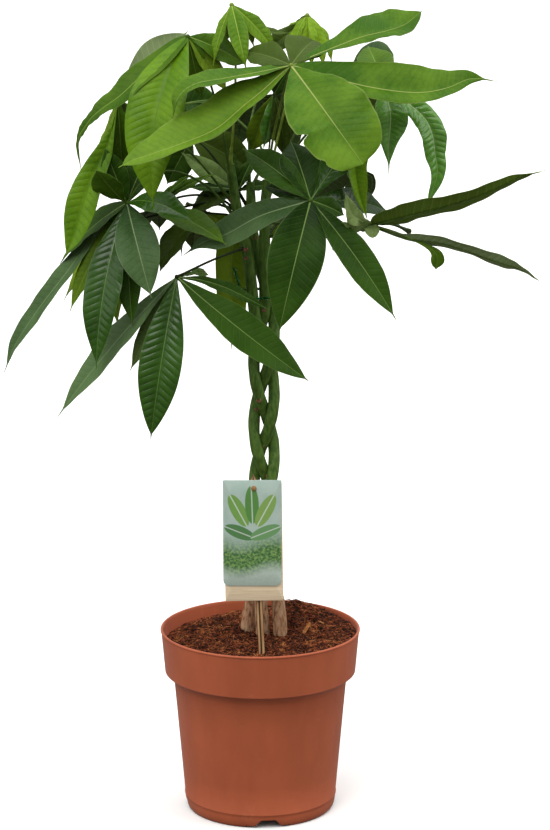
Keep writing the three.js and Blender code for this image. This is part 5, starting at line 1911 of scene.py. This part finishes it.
@dataclass
class PlantTag:
    """The tag: a card and a thin wood plate, held on a stake by a round pin.

    Attributes:
        pin: Where the pin is, in the frame.
        card: The printed card, with rounded lower corners.
        plate: The wood plate behind it.
        gap: Room between neighbours.
    """

    pin: Point = (-5, -64.5, 304)
    card: Board = Board(49.5, 92.5, 0.7, 85.5, -1.3, 5.0, 1.0)
    plate: Board = Board(49.4, 103.0, 1.6, 99.0, -1.0, 0.8, 0.8)
    stake_lean: float = 0.045
    plate_lean: float = 0.0145
    stake_width: float = 5.4
    stake_thickness: float = 1.8
    stake_foot: float = -159.0
    stake_top: float = 11.0
    gap: float = 0.3

    def build(self) -> None:
        """Makes the four pieces."""
        self._build_card()
        points, faces, _ = self.plate.slab(0.0, 0.3)
        wood = sawn_wood("plate", "efdab8", "dfc6a2", (0.05, 1, 1)).material()
        board = solid("tag_board", self._stand(points, self.plate_lean), faces, [wood], 40)
        hand_over(board, "plate_wood", "tag_plate")
        self._build_stake()
        self._build_pin()

    def _stand(self, points: Array, lean: float = 0.0) -> Array:
        """Leans points to the left about the pin, by an angle in radians, and puts them in the frame."""
        points = np.asarray(points, float)
        cosine, sine = math.cos(-lean), math.sin(-lean)
        x = cosine * points[:, 0] + sine * points[:, 2]
        z = -sine * points[:, 0] + cosine * points[:, 2]
        return np.stack([x, points[:, 1], z], axis=1) + np.array(self.pin)

    def _build_card(self) -> None:
        """The printed card, with the map that its print reads."""
        card = self.card
        points, faces, slots = card.slab(-self.gap - card.thickness, 0.15)
        layers = [CardFinish().material(), PAPER_CORE.material()]
        piece = solid("picture_card", self._stand(points), faces, layers, 40, slots)
        print_map = piece.data.uv_layers.new(name="card")
        left, low = self.pin[0] + card.shift - card.width / 2, self.pin[2] - card.below
        for loop in piece.data.loops:
            spot = piece.data.vertices[loop.vertex_index].co / MM
            print_map.data[loop.index].uv = ((spot.x - left) / PRINT_UNIT, (spot.z - low) / PRINT_UNIT)
        hand_over(piece, "printed_card", "tag_card")

    def _build_stake(self) -> None:
        """The stake: a flat stick with a groove down its front and a pointed top, with painted shade as darker wood
        in the groove and on the sides and edges.
        """
        front, top = self.plate.thickness + self.gap, self.stake_top
        back, half = front + self.stake_thickness, self.stake_width / 2
        rings = []
        heights = [*np.linspace(self.stake_foot, top - 5, 60), top - 3.4, top - 1.8, top]
        for height in heights:
            share = max(0.08, min(1.0, (top - height) / 5))
            wide = half * share
            groove = 0.45 if share > 0.5 else 0.1
            section = ((-wide + 0.3, front), (-0.9 * share, front), (-0.5 * share, front + groove),
                       (0.3 * share, front + groove), (0.6 * share, front), (wide - 0.3 * share, front),
                       (wide, front + 0.35), (wide, back - 0.35), (wide - 0.3 * share, back), (-wide + 0.3, back),
                       (-wide, back - 0.35), (-wide, front + 0.35))
            rings.extend((x, y, height) for x, y in section)
        faces = ring_faces(len(heights), 12)
        # Slot 1, the darker wood on the groove, the sides and the chamfered edges, is painted shade.
        slots = [int(number % 4 > 0) for number in range(len(faces) - 2)] + [0, 0]
        woods = [sawn_wood("stake", "c9a372", "96683c").material(),
                 sawn_wood("stake_groove", "5c3c22", "39220f").material()]
        stake = solid("tag_stick", self._stand(np.array(rings), self.stake_lean), faces, woods, 40, slots)
        hand_over(stake, "stake_wood", "tag_stake")

    def _build_pin(self) -> None:
        """The pin: a domed round head on a shank that passes through card and plate."""
        head, end = -self.card.thickness - 2 * self.gap, self.plate.thickness
        profile = ((0.35, head - 1.4), (1.2, head - 1.3), (1.9, head - 0.95), (2.25, head - 0.5),
                   (2.2, head - 0.05), (0.8, head), (0.8, end - 0.3), (0.5, end))
        points = lathed(profile, 32)[:, [0, 2, 1]]
        wood = sawn_wood("pin", "a9814f", "7f5a34").material()
        peg = solid("tag_peg", self._stand(points), ring_faces(len(profile), 32, flip=True), [wood], 40)
        hand_over(peg, "pin_wood", "tag_pin")


# Studio


@dataclass(frozen=True)
class SoftLight:
    """A large soft light, as even as a sun: where it stands round the plant and above it, in degrees, and more.

    Attributes:
        name: Its name.
        azimuth: 0 is in front, 90 on the right.
        elevation: Height above the floor.
        spread: How wide it looks from the plant.
        strength: Its strength.
    """

    name: str
    azimuth: float
    elevation: float
    spread: float
    strength: float


@dataclass
class Studio:
    """A plain pale floor, soft light all round and the camera of the photograph.

    Attributes:
        camera_place: Place of the camera, in metres.
        pitch: How far it looks down, in degrees.
        lens: Focal length for a 36 mm wide sensor along the picture's longer side.
    """

    camera_place: Point = (0.0129, -2.533, 0.937)
    pitch: float = 13.0
    lens: float = 131.12
    floor_colour: str = "f7f7f5"
    lights: tuple[SoftLight, ...] = (
        SoftLight("key", -28, 52, 38, 1.5),
        SoftLight("top", 140, 78, 60, 1.35),
        SoftLight("left", -82, 26, 50, 0.6),
        SoftLight("right", 78, 30, 45, 0.95),
    )

    def build(self) -> None:
        """Makes floor, lights, world and camera."""
        self._floor()
        self._lights()
        self._world()
        self._camera()

    def _floor(self) -> None:
        """A wide floor. It looks pale but throws little light back up at the pot."""
        half = 9000.0
        corners = [(x * half, y * half, z) for z in (0, -20) for x, y in ((-1, -1), (1, -1), (1, 1), (-1, 1))]
        paper = Skin("studio_floor_paper", 0.9, 0.0)
        seen = add_node(paper.tree, "ShaderNodeLightPath").outputs["Is Camera Ray"]
        paper.feed("Base Color", paper.mix(seen, "686663", self.floor_colour))
        faces = [(0, 1, 2, 3), (7, 6, 5, 4), (0, 4, 5, 1), (1, 5, 6, 2), (2, 6, 7, 3), (3, 7, 4, 0)]
        solid("studio_floor", corners, faces, [paper.material], 30)

    def _lights(self) -> None:
        """Sets up the soft lights, which all aim at the plant."""
        for light in self.lights:
            data = bpy.data.lights.new(light.name, "SUN")
            data.energy = light.strength
            data.angle = math.radians(light.spread)
            lamp = show(bpy.data.objects.new(light.name, data))
            lamp.location = (0, 0, 2)
            lamp.rotation_euler = (math.radians(90 - light.elevation), 0, math.radians(light.azimuth))

    def _world(self) -> None:
        """White to look at, with light that falls off towards the floor, and colours shown as they are."""
        world = bpy.data.worlds.new("studio")
        world.use_nodes = True
        tree = world.node_tree
        where = add_node(tree, "ShaderNodeTexCoord").outputs["Generated"]
        height = add_node(tree, "ShaderNodeSeparateXYZ", {0: where}).outputs["Z"]
        above = add_node(tree, "ShaderNodeMapRange", {"Value": height, 1: -0.3, 2: 0.9, 3: 0.22, 4: 0.8}).outputs[0]
        seen = add_node(tree, "ShaderNodeLightPath").outputs["Is Camera Ray"]
        strength = add_node(tree, "ShaderNodeMix", {"Factor": seen, "A": above, "B": 1.0})
        back = tree.nodes["Background"]
        back.inputs["Color"].default_value = linear("ffffff")
        tree.links.new(strength.outputs["Result"], back.inputs["Strength"])
        bpy.context.scene.world = world
        bpy.context.scene.view_settings.view_transform = "Standard"

    def _camera(self) -> None:
        """The photograph's view."""
        data = bpy.data.cameras.new("photo_camera")
        data.sensor_width = data.sensor_height = 36.0
        data.lens = self.lens
        data.clip_start, data.clip_end = 0.05, 60.0
        camera = show(bpy.data.objects.new("photo_camera", data))
        camera.location = self.camera_place
        camera.rotation_euler = (math.radians(90 - self.pitch), 0, 0)
        bpy.context.scene.camera = camera


def main() -> None:
    """Builds the studio and every sub-assembly in order."""
    logging.basicConfig(level=logging.INFO, format="%(name)s %(message)s")
    Studio().build()
    pot = NurseryPot()
    pot.build()
    PottingSoil(pot).build()
    stems = BraidedStems()
    stems.build()
    TinselTie(stems).build()
    PlantTag().build()
    maker = BladeMaker()
    for number, leaf in enumerate(LEAVES):
        leaf.build(maker, number)


if __name__ == "__main__":
    main()
